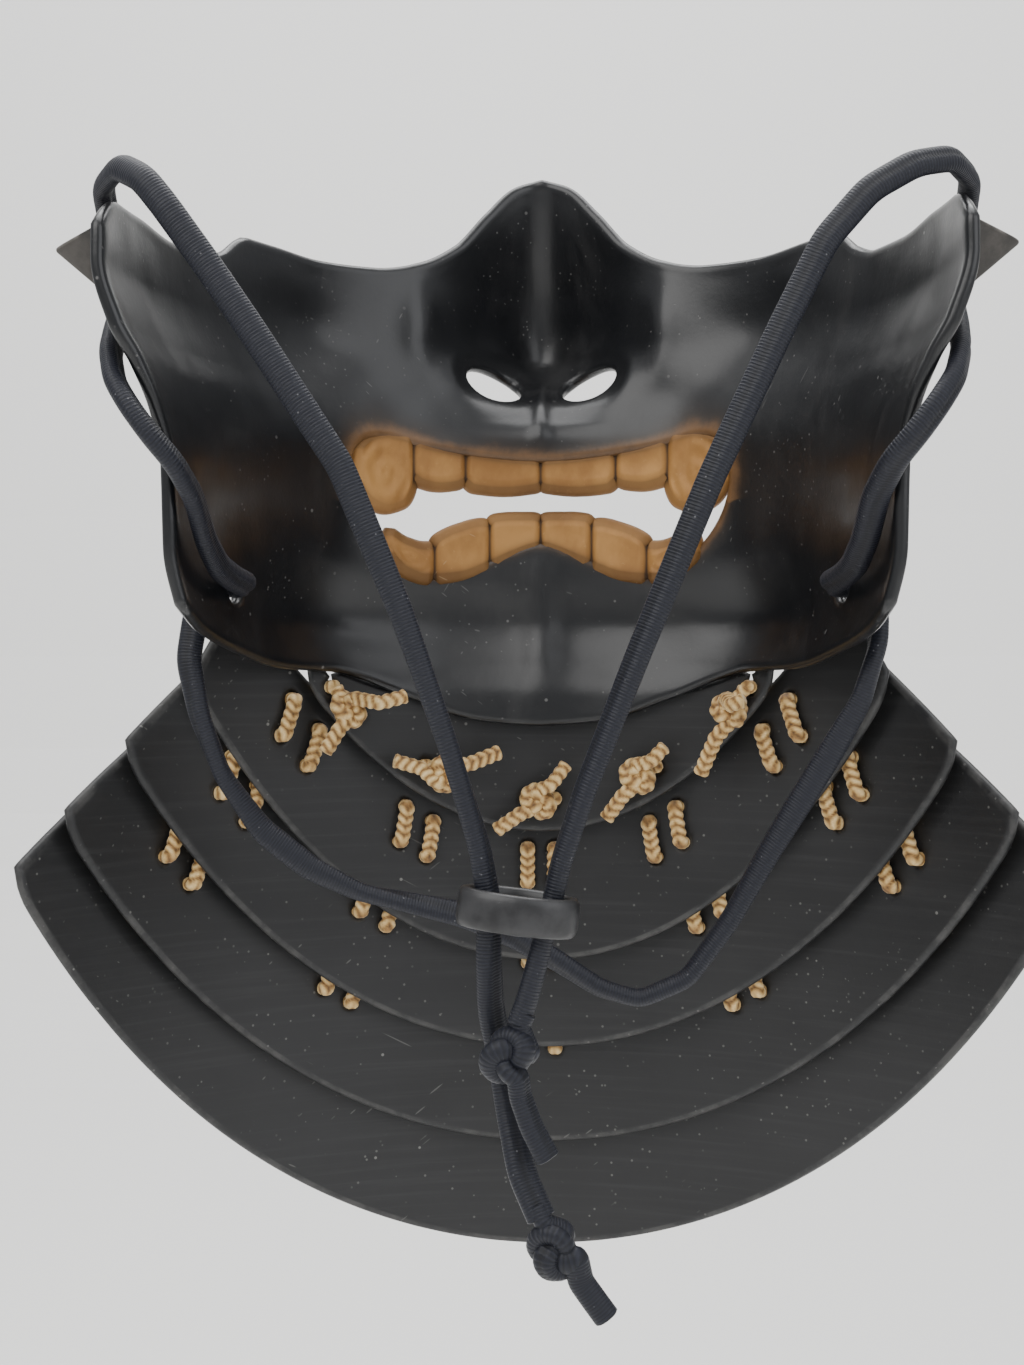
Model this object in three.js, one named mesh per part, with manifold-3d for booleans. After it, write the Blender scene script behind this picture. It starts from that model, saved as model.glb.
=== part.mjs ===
// Samurai face guard: a moulded half mask with gilt teeth, five throat lames laced together,
// and one black tie cord that runs from the jaw holes over the ear tabs to a slide ring.
// Millimetres, +Z up. Origin between the rows of teeth, at the wearer's lips;
// the mask faces +Y, and the wearer's face comes in from -Y.
import * as THREE from 'three';
import { mergeVertices } from 'three/addons/utils/BufferGeometryUtils.js';
import Module from 'manifold-3d';

const wasm = await Module();
wasm.setup();

// ---------------------------------------------------------------- driving dimensions
const WALL = 3.0; // mask wall
const GAP = 0.3; // between pieces that touch
const SHELL_COLUMNS = 32;
const SHELL_ROWS = 17;

const LAME_COLUMNS = 13;
const LAME_THICKNESS = 2.4;
const LAME_RADIUS = 105; // first lame, mid wall
const LAME_PITCH = 6.0; // growth of radius from one lame to the next
const LAME_AXIS_Y = -100; // the rolled plates share one upright axis
const LAME_CORNER = 4; // rounding of the lower corners

const LACE_RADIUS = 1.5;
const LACE_SIDES = 4;
const LACE_HOLE = 2.2;
const HOLE_SIDES = 5;
const LACE_SPREAD = 3.4; // half the distance between the two strands of a pair
const STITCH_LENGTH = 8.6; // from a stitch's lower hole up to its upper one
const STITCH_FAN = 0.75; // how far a stitch's ends lean outwards, for each place from the middle

const CORD_RADIUS = 2.5;
const CORD_SIDES = 8;
const JAW_HOLE_RADIUS = 3.3;

const NOSTRIL = { centreX: 11.4, centreZ: 32.5, length: 13.2, height: 6.6, tilt: 25 };

// level sections of the mask's inner face
const SECTIONS = [
  { z: -54, halfWidth: 66, front: -2, back: -80, squareness: 2.8 },
  { z: -46, halfWidth: 66, front: -1.5, back: -80, squareness: 2.8 },
  { z: -38, halfWidth: 66, front: 1.5, back: -80, squareness: 2.8 },
  { z: -28, halfWidth: 68.7, front: 4.5, back: -81, squareness: 2.7 },
  { z: -16, halfWidth: 71.2, front: 3.0, back: -82, squareness: 2.5 },
  { z: 2, halfWidth: 71.4, front: 2.0, back: -83, squareness: 2.3 },
  { z: 12, halfWidth: 73, front: 2.0, back: -86, squareness: 2.2 },
  { z: 21, halfWidth: 76.2, front: 4, back: -89, squareness: 2.1 },
  { z: 28, halfWidth: 79.8, front: 6, back: -91, squareness: 2.05 },
  { z: 40, halfWidth: 82.8, front: 8, back: -92, squareness: 2.05 },
  { z: 60, halfWidth: 82.6, front: 10, back: -92, squareness: 2.05 },
  { z: 90, halfWidth: 82.6, front: 10, back: -92, squareness: 2.05 },
];

// nose: how far its ridge stands forward of the section, and its half width
const NOSE = [
  { z: 20, ridge: 0, halfWidth: 24 },
  { z: 25, ridge: 3, halfWidth: 26 },
  { z: 30, ridge: 12, halfWidth: 28 },
  { z: 35, ridge: 20, halfWidth: 30 },
  { z: 41, ridge: 24, halfWidth: 32 },
  { z: 55, ridge: 21, halfWidth: 32 },
  { z: 70, ridge: 15, halfWidth: 27 },
  { z: 90, ridge: 8, halfWidth: 20 },
];

// swellings and folds, the same on both sides: where, how far they spread, how high
const RELIEF = [
  { name: 'cheekbone', x: 52, z: 40, spreadX: 13, spreadZ: 12, height: 3.0 },
  { name: 'muzzle', x: 30, z: 22, spreadX: 9, spreadZ: 9, height: 1.5 },
  { name: 'jaw', x: 52, z: -28, spreadX: 12, spreadZ: 10, height: 2.5 },
  { name: 'lip corner', x: 44, z: 0, spreadX: 8, spreadZ: 12, height: 2.0 },
];

// rims, by distance from the middle as a share of a quarter turn
const TOP_RIM = [
  { turn: 0, z: 84.6 },
  { turn: 0.04, z: 82.5 },
  { turn: 0.09, z: 75.5 },
  { turn: 0.15, z: 66 },
  { turn: 0.22, z: 60.5 },
  { turn: 0.31, z: 58 },
  { turn: 0.42, z: 57.5 },
  { turn: 0.52, z: 58.5 },
  { turn: 0.58, z: 58.7 },
  { turn: 0.63, z: 54 },
  { turn: 0.68, z: 51.5 },
  { turn: 0.76, z: 51.5 },
  { turn: 0.86, z: 53 },
  { turn: 0.93, z: 53 },
  { turn: 1, z: 46 },
];
const BOTTOM_RIM = [
  { turn: 0, z: -53.5 },
  { turn: 0.09, z: -52 },
  { turn: 0.215, z: -47 },
  { turn: 0.35, z: -41.9 },
  { turn: 0.45, z: -39.9 },
  { turn: 0.6, z: -39.5 },
  { turn: 0.8, z: -36 },
  { turn: 0.94, z: -32 },
  { turn: 1, z: -27 },
];

// right half of the mouth opening, from the top middle round to the bottom middle
const MOUTH = [
  { x: 0, z: 10.4 },
  { x: 15, z: 11.8 },
  { x: 30, z: 14.4 },
  { x: 37.5, z: 16.4 },
  { x: 42.3, z: 14.6 },
  { x: 44.2, z: 8 },
  { x: 43.6, z: 0 },
  { x: 40.5, z: -7 },
  { x: 35, z: -13.6 },
  { x: 29, z: -16.8 },
  { x: 21, z: -16.4 },
  { x: 12.8, z: -13.1 },
  { x: 5, z: -9.8 },
  { x: 0, z: -8.5 },
];

// right half of each row of teeth
const UPPER_TEETH = [
  { from: 0, to: 18.2, top: 14, tip: 4.2, depth: 6, name: 'front tooth' },
  { from: 18.2, to: 30.5, top: 17, tip: 5.6, depth: 6, name: 'side tooth' },
  { from: 30.5, to: 44.2, top: 20, tip: -2.2, depth: 8, name: 'fang' },
];
const LOWER_TEETH = [
  { from: 0, to: 12.4, top: -18, tip: -1.9, depth: 6, name: 'front tooth' },
  { from: 12.4, to: 25.6, top: -20, tip: -4.6, depth: 6, name: 'side tooth' },
  { from: 25.6, to: 36.5, top: -20, tip: -9.4, depth: 6, name: 'back tooth' },
];

// throat lames in their flat pattern, along the plate and up it: the lower edge, the upper edge,
// the height of the lower lacing holes, and the lacings' places from the middle outwards
const LAMES = [
  {
    bottom: -79.5, rise: 0.0106, halfBottom: 58.8,
    top: -46, endTop: -38.4, halfTop: 53, topPower: 4,
    hole: -71.5, holeRise: 0.01, inner: 25.3, outer: 49,
  },
  {
    bottom: -112, rise: 0.0085, halfBottom: 89.4,
    top: -76, endTop: -20, halfTop: 79, topPower: 1.8,
    hole: -92.7, holeRise: 0.0088, inner: 31.5, outer: 61.5,
  },
  {
    bottom: -134.8, rise: 0.0063, halfBottom: 109,
    top: -100, endTop: -32, halfTop: 87.4, topPower: 3,
    hole: -113.5, holeRise: 0.0066, inner: 42.5, outer: 78.5,
  },
  {
    bottom: -160, rise: 0.0052, halfBottom: 127.4,
    top: -122.5, endTop: -49.3, halfTop: 104.7, topPower: 3.2,
    hole: -136, holeRise: 0.00543, inner: 52.4, outer: 94.5,
  },
  {
    bottom: -188, rise: 0.0049, halfBottom: 143,
    top: -144, endTop: -59.7, halfTop: 117.4, topPower: 3.6,
    hole: -166.6, holeRise: 0.0052, inner: 60, outer: 105,
  },
];

// ---------------------------------------------------------------- helpers
const radians = THREE.MathUtils.degToRad;

// smooth value of one column of a table at a place along its key column
function lookUp(rows, key, column, at) {
  const last = rows.length - 1;
  const place = THREE.MathUtils.clamp(at, rows[0][key], rows[last][key]);
  let i = 0;
  while (i < last - 1 && place > rows[i + 1][key]) i += 1;
  const slope = (a, b) => (rows[b][column] - rows[a][column]) / (rows[b][key] - rows[a][key]);
  const span = rows[i + 1][key] - rows[i][key];
  const u = (place - rows[i][key]) / span;
  const before = i > 0 ? slope(i - 1, i) : slope(i, i + 1);
  const after = i + 1 < last ? slope(i + 1, i + 2) : slope(i, i + 1);
  const here = slope(i, i + 1);
  const tangentIn = before * here > 0 ? (2 * before * here) / (before + here) : 0;
  const tangentOut = after * here > 0 ? (2 * after * here) / (after + here) : 0;
  const h1 = 2 * u ** 3 - 3 * u ** 2 + 1;
  const h2 = u ** 3 - 2 * u ** 2 + u;
  const h3 = -2 * u ** 3 + 3 * u ** 2;
  const h4 = u ** 3 - u ** 2;
  return h1 * rows[i][column] + h2 * span * tangentIn + h3 * rows[i + 1][column] + h4 * span * tangentOut;
}

function toSolid(geometry) {
  const bare = geometry.index ? geometry.clone() : geometry;
  bare.deleteAttribute('normal');
  bare.deleteAttribute('uv');
  const merged = mergeVertices(bare, 1e-4);
  return new wasm.Manifold(new wasm.Mesh({
    numProp: 3,
    vertProperties: new Float32Array(merged.attributes.position.array),
    triVerts: new Uint32Array(merged.index.array),
  }));
}

function toGeometry(solid) {
  const mesh = solid.getMesh();
  const geometry = new THREE.BufferGeometry();
  geometry.setAttribute('position', new THREE.BufferAttribute(new Float32Array(mesh.vertProperties), 3));
  geometry.setIndex(new THREE.BufferAttribute(new Uint32Array(mesh.triVerts), 1));
  return geometry;
}

// closed solid from rings of points: rings[i][j], each ring closed, both ends capped by a fan
function ringSolid(rings) {
  const count = rings[0].length;
  const positions = rings.flat().flatMap((p) => [p.x, p.y, p.z]);
  const index = [];
  for (let i = 0; i + 1 < rings.length; i += 1) {
    for (let j = 0; j < count; j += 1) {
      const a = i * count + j;
      const b = i * count + ((j + 1) % count);
      index.push(a, b, b + count, a, b + count, a + count);
    }
  }
  const lastRing = (rings.length - 1) * count;
  for (let j = 1; j + 1 < count; j += 1) {
    index.push(0, j + 1, j);
    index.push(lastRing, lastRing + j, lastRing + j + 1);
  }
  const geometry = new THREE.BufferGeometry();
  geometry.setAttribute('position', new THREE.Float32BufferAttribute(positions, 3));
  geometry.setIndex(index);
  return geometry;
}

// a route whose tube has one ring at each of its points
class Route extends THREE.Curve {
  constructor(points) {
    super();
    this.points = points;
  }

  getPoint(t, target = new THREE.Vector3()) {
    const place = THREE.MathUtils.clamp(t, 0, 1) * (this.points.length - 1);
    const i = Math.min(Math.floor(place), this.points.length - 2);
    return target.lerpVectors(this.points[i], this.points[i + 1], place - i);
  }

  getPointAt(t, target) {
    return this.getPoint(t, target);
  }

  getTangentAt(t, target = new THREE.Vector3()) {
    const place = Math.round(t * (this.points.length - 1));
    const before = this.points[Math.max(place - 1, 0)];
    const here = this.points[place];
    const after = this.points[Math.min(place + 1, this.points.length - 1)];
    const into = new THREE.Vector3().subVectors(here, before).normalize();
    const out = new THREE.Vector3().subVectors(after, here).normalize();
    return target.addVectors(into, out).normalize();
  }
}

function circle(radius, sides) {
  const corners = [];
  for (let i = 0; i < sides; i += 1) {
    const angle = (2 * Math.PI * (i + 0.5)) / sides;
    corners.push(new THREE.Vector2(radius * Math.cos(angle), radius * Math.sin(angle)));
  }
  return new THREE.Shape(corners);
}

function tube(points, radius, sides) {
  return new THREE.ExtrudeGeometry(circle(radius, sides), {
    steps: points.length - 1,
    extrudePath: new Route(points),
    curveSegments: 1,
  });
}

// prism of an outline drawn in X and Z, from one Y to another
function prismAlongY(outline, fromY, toY) {
  const geometry = new THREE.ExtrudeGeometry(new THREE.Shape(outline), {
    depth: toY - fromY,
    bevelEnabled: false,
    curveSegments: 1,
  });
  geometry.rotateX(Math.PI / 2);
  geometry.translate(0, toY, 0);
  return geometry;
}

// prism between two points, for drilling
function drill(from, to, radius, sides) {
  return toSolid(tube([from, to], radius, sides));
}

const material = (color, roughness, metalness) => (
  new THREE.MeshStandardMaterial({ color, roughness, metalness })
);
const shellBlack = material(0x121316, 0.32, 0.0);
const lameBlack = material(0x1d1e20, 0.5, 0.0);
const gilt = material(0xa9773a, 0.5, 0.5);
const laceGold = material(0xc9a35c, 0.7, 0.0);
const cordBlack = material(0x171a24, 0.6, 0.0);
const ringBlack = material(0x2a2a2a, 0.4, 0.0);

const guard = new THREE.Group();
function addPiece(name, geometry, look) {
  const mesh = new THREE.Mesh(geometry, look);
  mesh.name = name;
  guard.add(mesh);
}

// ---------------------------------------------------------------- face shell
function reliefAt(x, z) {
  const side = Math.abs(x);
  return RELIEF.reduce((sum, bump) => (
    sum + bump.height * Math.exp(-(((side - bump.x) / bump.spreadX) ** 2) - ((z - bump.z) / bump.spreadZ) ** 2)
  ), 0);
}

function noseAt(x, z) {
  const halfWidth = lookUp(NOSE, 'z', 'halfWidth', z);
  const across = Math.min(1, Math.abs(x) / halfWidth);
  return lookUp(NOSE, 'z', 'ridge', z) * (1 - across) ** 2 * (1 + 2 * across);
}

// inner face of the mask: turn is -1 at the left back edge, 0 in the middle, 1 at the right
function innerPoint(turn, z) {
  const row = (column) => lookUp(SECTIONS, 'z', column, z);
  const angle = (Math.abs(turn) * Math.PI) / 2;
  const power = 2 / row('squareness');
  const x = Math.sign(turn) * row('halfWidth') * Math.sin(angle) ** power;
  const y = row('back') + (row('front') - row('back')) * Math.max(0, Math.cos(angle)) ** power;
  const swell = reliefAt(x, z);
  return new THREE.Vector3(
    x + swell * Math.sin(angle) * Math.sign(turn),
    y + swell * Math.cos(angle) + noseAt(x, z),
    z,
  );
}

// columns lie closer together at the nose than along the sides
const columnTurn = (share) => 0.5 * share + 0.5 * share ** 3;

function faceShell() {
  const shellPoint = (share, up) => {
    const turn = columnTurn(share);
    const bottom = lookUp(BOTTOM_RIM, 'turn', 'z', Math.abs(turn));
    const top = lookUp(TOP_RIM, 'turn', 'z', Math.abs(turn));
    return innerPoint(turn, bottom + (top - bottom) * up);
  };
  const small = 0.004;
  const outward = (share, up) => {
    const across = new THREE.Vector3().subVectors(
      shellPoint(Math.min(1, share + small), up),
      shellPoint(Math.max(-1, share - small), up),
    );
    const along = new THREE.Vector3().subVectors(
      shellPoint(share, Math.min(1, up + small)),
      shellPoint(share, Math.max(0, up - small)),
    );
    return new THREE.Vector3().crossVectors(along, across).normalize();
  };
  const rings = [];
  for (let i = 0; i <= SHELL_COLUMNS; i += 1) {
    const share = -1 + (2 * i) / SHELL_COLUMNS;
    const inner = [];
    const outer = [];
    for (let j = 0; j <= SHELL_ROWS; j += 1) {
      const up = j / SHELL_ROWS;
      const point = shellPoint(share, up);
      inner.push(point);
      outer.push(point.clone().addScaledVector(outward(share, up), WALL));
    }
    rings.push([...inner, ...outer.reverse()]);
  }
  // the strips at both ends are capped as a ladder, so that no cap triangle leaves the wall
  const count = rings[0].length;
  const positions = rings.flat().flatMap((p) => [p.x, p.y, p.z]);
  const index = [];
  for (let i = 0; i + 1 < rings.length; i += 1) {
    for (let j = 0; j < count; j += 1) {
      const a = i * count + j;
      const b = i * count + ((j + 1) % count);
      index.push(a, b + count, b, a, a + count, b + count);
    }
  }
  const lastRing = (rings.length - 1) * count;
  for (let j = 0; j < SHELL_ROWS; j += 1) {
    const far = count - 1 - j;
    index.push(j, j + 1, far, j + 1, far - 1, far);
    index.push(lastRing + j, lastRing + far, lastRing + j + 1);
    index.push(lastRing + j + 1, lastRing + far, lastRing + far - 1);
  }
  const geometry = new THREE.BufferGeometry();
  geometry.setAttribute('position', new THREE.Float32BufferAttribute(positions, 3));
  geometry.setIndex(index);
  return toSolid(geometry);
}

function mirrored(half) {
  const left = half.slice(1, -1).reverse().map((p) => ({ x: -p.x, z: p.z }));
  return [...half, ...left].map((p) => new THREE.Vector2(p.x, p.z));
}

function mouthPrism(inset) {
  const outline = mirrored(MOUTH).map((p) => p.multiplyScalar(1 - inset / p.length()));
  return toSolid(prismAlongY(outline, -60, 30));
}

// leaf-shaped nostril, cut forward out of the nose
function nostrilPrism(side) {
  const outline = [];
  const steps = 10;
  for (let i = 0; i < steps; i += 1) {
    const angle = (2 * Math.PI * i) / steps;
    const along = (NOSTRIL.length / 2) * Math.cos(angle);
    const up = (NOSTRIL.height / 2) * Math.sin(angle) * (Math.sin(angle) > 0 ? 0.8 : 1.2);
    const tilt = radians(NOSTRIL.tilt);
    const x = NOSTRIL.centreX + along * Math.cos(tilt) - up * Math.sin(tilt);
    const z = NOSTRIL.centreZ + along * Math.sin(tilt) + up * Math.cos(tilt);
    outline.push(new THREE.Vector2(side * x, z));
  }
  return toSolid(prismAlongY(side > 0 ? outline : outline.reverse(), 6, 40));
}

// where the tie cord passes through the jaw
const JAW_HOLE = { x: 67.3, y: -41, z: -21.8 };
function jawHole(side) {
  const from = new THREE.Vector3(side * (JAW_HOLE.x - 12), JAW_HOLE.y - 4, JAW_HOLE.z);
  const to = new THREE.Vector3(side * (JAW_HOLE.x + 12), JAW_HOLE.y + 4, JAW_HOLE.z);
  return drill(from, to, JAW_HOLE_RADIUS, 10);
}

const mask = faceShell()
  .subtract(mouthPrism(0))
  .subtract(nostrilPrism(1))
  .subtract(nostrilPrism(-1))
  .subtract(jawHole(1))
  .subtract(jawHole(-1));
addPiece('face_shell', toGeometry(mask), shellBlack);

// ---------------------------------------------------------------- teeth
// inner face of the wall at a place across the mouth
function wallY(x, z) {
  const row = (column) => lookUp(SECTIONS, 'z', column, z);
  const power = row('squareness');
  const share = (Math.abs(x) / row('halfWidth')) ** power;
  return row('back') + (row('front') - row('back')) * (1 - share) ** (1 / power);
}

// one tooth: straight sides, a rounded tip, set square to the wall
function tooth(row, side) {
  const middle = (side * (row.from + row.to)) / 2;
  const slope = (wallY(middle + 2, 0) - wallY(middle - 2, 0)) / 4;
  const half = ((row.to - row.from) / 2) * Math.hypot(1, slope) + 0.5;
  const inwards = Math.sign(row.top - row.tip);
  const round = Math.min(half, 3);
  const outline = [
    new THREE.Vector2(-half, row.top),
    new THREE.Vector2(-half, row.tip + inwards * round),
    new THREE.Vector2(-half + 0.3 * round, row.tip + inwards * 0.3 * round),
    new THREE.Vector2(-half + round, row.tip),
    new THREE.Vector2(half - round, row.tip),
    new THREE.Vector2(half - 0.3 * round, row.tip + inwards * 0.3 * round),
    new THREE.Vector2(half, row.tip + inwards * round),
    new THREE.Vector2(half, row.top),
  ];
  const geometry = prismAlongY(outline, 0.3, row.depth);
  geometry.rotateZ(Math.atan(slope));
  geometry.translate(middle, wallY(middle, 0), 0);
  return toSolid(geometry);
}

function rowOfTeeth(rows) {
  const teeth = [-1, 1].flatMap((side) => rows.map((row) => tooth(row, side)));
  return teeth.reduce((sum, next) => sum.add(next)).intersect(mouthPrism(GAP));
}

addPiece('upper_teeth', toGeometry(rowOfTeeth(UPPER_TEETH)), gilt);
addPiece('lower_teeth', toGeometry(rowOfTeeth(LOWER_TEETH)), gilt);

// ---------------------------------------------------------------- cord hooks
// folded V of sheet on the outside of each ear tab, open at the top
const HOOK = { tipX: 96.5, wallX: 84, y: -77, halfLength: 9.6, top: 47, tipTop: 44, bottom: 34, wall: 1.3 };

function wedge(inset, raise) {
  const inner = HOOK.wallX;
  const points = [
    new THREE.Vector3(HOOK.tipX - 2.2 * inset, HOOK.y, HOOK.tipTop + raise),
    new THREE.Vector3(inner, HOOK.y - HOOK.halfLength + inset, HOOK.top + raise),
    new THREE.Vector3(inner, HOOK.y + HOOK.halfLength - inset, HOOK.top + raise),
    new THREE.Vector3(inner, HOOK.y, HOOK.bottom + 2.5 * inset),
  ];
  const geometry = new THREE.BufferGeometry();
  geometry.setAttribute('position', new THREE.Float32BufferAttribute(points.flatMap((p) => [p.x, p.y, p.z]), 3));
  geometry.setIndex([0, 2, 1, 0, 1, 3, 0, 3, 2, 1, 2, 3]);
  return toSolid(geometry);
}

const bothWays = mask.add(mask.mirror([1, 0, 0]));
const hook = wedge(0, 0)
  .subtract(wedge(HOOK.wall, 4))
  .subtract(bothWays)
  .subtract(bothWays.translate([GAP, 0, 0]));
addPiece('hook_right', toGeometry(hook), ringBlack);
addPiece('hook_left', toGeometry(hook.mirror([1, 0, 0])), ringBlack);

// ---------------------------------------------------------------- throat lames
const lameRadius = (k) => LAME_RADIUS + LAME_PITCH * k;
const lowerEdge = (k, s) => LAMES[k].bottom + LAMES[k].rise * s * s;

function upperEdge(k, s) {
  const lame = LAMES[k];
  return lame.top + (lame.endTop - lame.top) * (Math.abs(s) / lame.halfTop) ** lame.topPower;
}

// a place on a lame: s along the plate, z up it, h outwards from the middle of its wall
function onLame(k, s, z, h) {
  const radius = lameRadius(k);
  const angle = s / radius;
  return new THREE.Vector3(
    (radius + h) * Math.sin(angle),
    LAME_AXIS_Y + (radius + h) * Math.cos(angle),
    z,
  );
}

// the strip between the two edges, its lower corners rounded
function lamePlate(k) {
  const lame = LAMES[k];
  const half = LAME_THICKNESS / 2;
  const shares = [-1, -1 + (0.3 * LAME_CORNER) / lame.halfBottom, -1 + LAME_CORNER / lame.halfBottom];
  for (let i = 1; i < LAME_COLUMNS; i += 1) shares.push(-1 + (2 * i) / LAME_COLUMNS);
  shares.push(1 - LAME_CORNER / lame.halfBottom, 1 - (0.3 * LAME_CORNER) / lame.halfBottom, 1);
  const rings = shares.map((share) => {
    const sLow = share * lame.halfBottom;
    const sHigh = share * lame.halfTop;
    const low = lowerEdge(k, sLow);
    const high = upperEdge(k, sHigh);
    const fromEnd = Math.min(1, ((1 - Math.abs(share)) * lame.halfBottom) / LAME_CORNER);
    const cut = (LAME_CORNER * (1 - Math.sqrt(1 - (1 - fromEnd) ** 2))) / (high - low);
    const place = (up, h) => onLame(k, sLow + (sHigh - sLow) * up, low + (high - low) * up, h);
    return [place(cut, half), place(1 - cut, half), place(1 - cut, -half), place(cut, -half)];
  });
  return toSolid(ringSolid(rings));
}

function laceHole(k, s, z) {
  return drill(onLame(k, s, z, -3), onLame(k, s, z, 3), LACE_HOLE, HOLE_SIDES);
}

// the two ends of the stitch that a strand makes on the inside of a lame
function stitch(k, place, strand) {
  const lame = LAMES[k];
  const middle = Math.sign(place) * (Math.abs(place) === 2 ? lame.outer : lame.inner);
  const s = middle + strand * LACE_SPREAD;
  const lean = STITCH_FAN * place;
  const z = lame.hole + lame.holeRise * s * s;
  if (k === 0) return [{ s, z }];
  return [{ s: s - lean, z: z + STITCH_LENGTH }, { s: s + lean, z }];
}

const PLACES = [-2, -1, 0, 1, 2];
const LAST = LAMES.length - 1;
LAMES.forEach((lame, k) => {
  let plate = lamePlate(k);
  PLACES.forEach((place) => {
    [-1, 1].forEach((strand) => {
      const ends = stitch(k, place, strand).slice(0, k === LAST ? 1 : 2);
      ends.forEach((end) => {
        plate = plate.subtract(laceHole(k, end.s, end.z));
      });
    });
  });
  addPiece(`lame_${k + 1}`, toGeometry(plate), lameBlack);
});

// ---------------------------------------------------------------- lacing
// knotted ends on the inside of the first lame: two tails each, along, up and off the plate
const TAILS = [
  { place: -2, tail: [11, 3, 9], other: [-7, -10.5, 2] },
  { place: -1, tail: [-12, 3.5, 2], other: [14, 5.5, 4] },
  { place: 0, tail: [6.5, 9, 3], other: [-11, -7.5, 2] },
  { place: 1, tail: [7, 7, 3], other: [-8, -11, 2] },
  { place: 2, tail: [6.5, 2, 8], other: [-7, -16, 2] },
];
const KNOT_RADIUS = 3.1;
const LACE_OFF = LAME_THICKNESS / 2 + LACE_RADIUS + 2 * GAP;
const OUTER_KNOT_DROP = 1.6; // keeps the outer knots below the jaw's rim

// where a strand running down the outside of one lame crosses the next one's upper edge
function edgeCrossing(k, from, to) {
  let low = 0;
  let high = 1;
  for (let i = 0; i < 30; i += 1) {
    const mid = (low + high) / 2;
    const s = from.s + (to.s - from.s) * mid;
    const z = from.z + (to.z - from.z) * mid;
    if (z > upperEdge(k, s)) low = mid;
    else high = mid;
  }
  return low;
}

// one strand, from its hole in the first lame down to the last lame
function strandRoute(place, strand) {
  const start = stitch(0, place, strand)[0];
  const route = [onLame(0, start.s, start.z, -LACE_OFF), onLame(0, start.s, start.z, LACE_OFF)];
  let foot = start;
  for (let k = 1; k <= LAST; k += 1) {
    const [top, bottom] = stitch(k, place, strand);
    const length = Math.hypot(top.s - foot.s, top.z - foot.z);
    const share = edgeCrossing(k, foot, top);
    const crossing = foot.s + (top.s - foot.s) * share;
    const steepness = Math.hypot(1, (upperEdge(k, crossing + 1) - upperEdge(k, crossing - 1)) / 2);
    const over = Math.max(0, share - (1.6 * steepness) / length);
    const clear = Math.max(0, over - 4.6 / length);
    const between = (u) => [foot.s + (top.s - foot.s) * u, foot.z + (top.z - foot.z) * u];
    if (clear * length > 2) route.push(onLame(k - 1, ...between(clear), LACE_OFF));
    route.push(onLame(k, ...between(over), LACE_OFF));
    route.push(onLame(k, top.s, top.z, LACE_OFF), onLame(k, top.s, top.z, -LACE_OFF));
    if (k < LAST) {
      route.push(onLame(k, bottom.s, bottom.z, -LACE_OFF), onLame(k, bottom.s, bottom.z, LACE_OFF));
    }
    foot = bottom;
  }
  return route;
}

function lace(place) {
  const row = TAILS[place + 2];
  const start = stitch(0, place, 0)[0];
  const knotOff = -(LAME_THICKNESS / 2 + GAP + KNOT_RADIUS + 0.2);
  const knotZ = start.z - (Math.abs(place) === 2 ? OUTER_KNOT_DROP : 0);
  const centre = onLame(0, start.s, knotZ, knotOff);
  const tailAt = ([along, up, off], share, lift) => (
    onLame(0, start.s + along * share, knotZ + up * share, knotOff - off * lift)
  );
  const tailRoute = (tail) => [tailAt(tail, 0.35, 0.8), tailAt(tail, 1, 1)];
  const strands = [centre, ...strandRoute(place, -1), ...strandRoute(place, 1).reverse(), centre];
  const whole = toSolid(tube(strands, LACE_RADIUS, LACE_SIDES));
  const knot = new THREE.IcosahedronGeometry(KNOT_RADIUS, 1);
  knot.scale(1.25, 1, 1);
  knot.translate(centre.x, centre.y, centre.z);
  const tails = [...tailRoute(row.tail).reverse(), centre, ...tailRoute(row.other)];
  return whole.add(toSolid(knot)).add(toSolid(tube(tails, LACE_RADIUS, LACE_SIDES)));
}

PLACES.forEach((place, i) => addPiece(`lace_${i + 1}`, toGeometry(lace(place)), laceGold));

// ---------------------------------------------------------------- tie cord
const RING = { x: -2.7, y: -88, z: -87.4, halfLength: 12, halfDepth: 8, height: 7.8, wall: 2.7, tilt: 7 };
const vectors = (rows) => rows.map(([x, y, z]) => new THREE.Vector3(x, y, z));

// from inside the jaw hole, back past the wall's edge, round the hook and over the ear tab
const SIDE_ROUTE = [
  [68.1, -40.73, -21.8],
  [65.0, -41.8, -21.9],
  [63.4, -46, -21.7],
  [64.8, -55, -20.6],
  [65.9, -64, -18.8],
  [66.9, -72, -14],
  [67.6, -80.4, -6],
  [70.0, -87, 0],
  [74.0, -89.8, 5],
  [78.0, -90.2, 10.5],
  [81.7, -87.5, 16],
  [84.2, -81, 22.5],
  [85.6, -72, 28.5],
  [86.2, -64, 35],
  [86.4, -62, 43],
  [87.8, -67, 51],
  [86.8, -77, 57],
  [81.3, -85.7, 58.6],
];
const RIGHT_STRAND = [
  [73.4, -90, 56.4],
  [64.5, -92, 51.0],
  [55.9, -93, 41.1],
  [47.4, -93, 24.1],
  [34.1, -93, -4.4],
  [20.8, -92, -36.8],
  [10.3, -90, -63.7],
  [5.6, -88.5, -78],
  [2.9, -88, -90],
  [-0.9, -88, -104.6],
  [-2.8, -88, -109.6],
];
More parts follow.
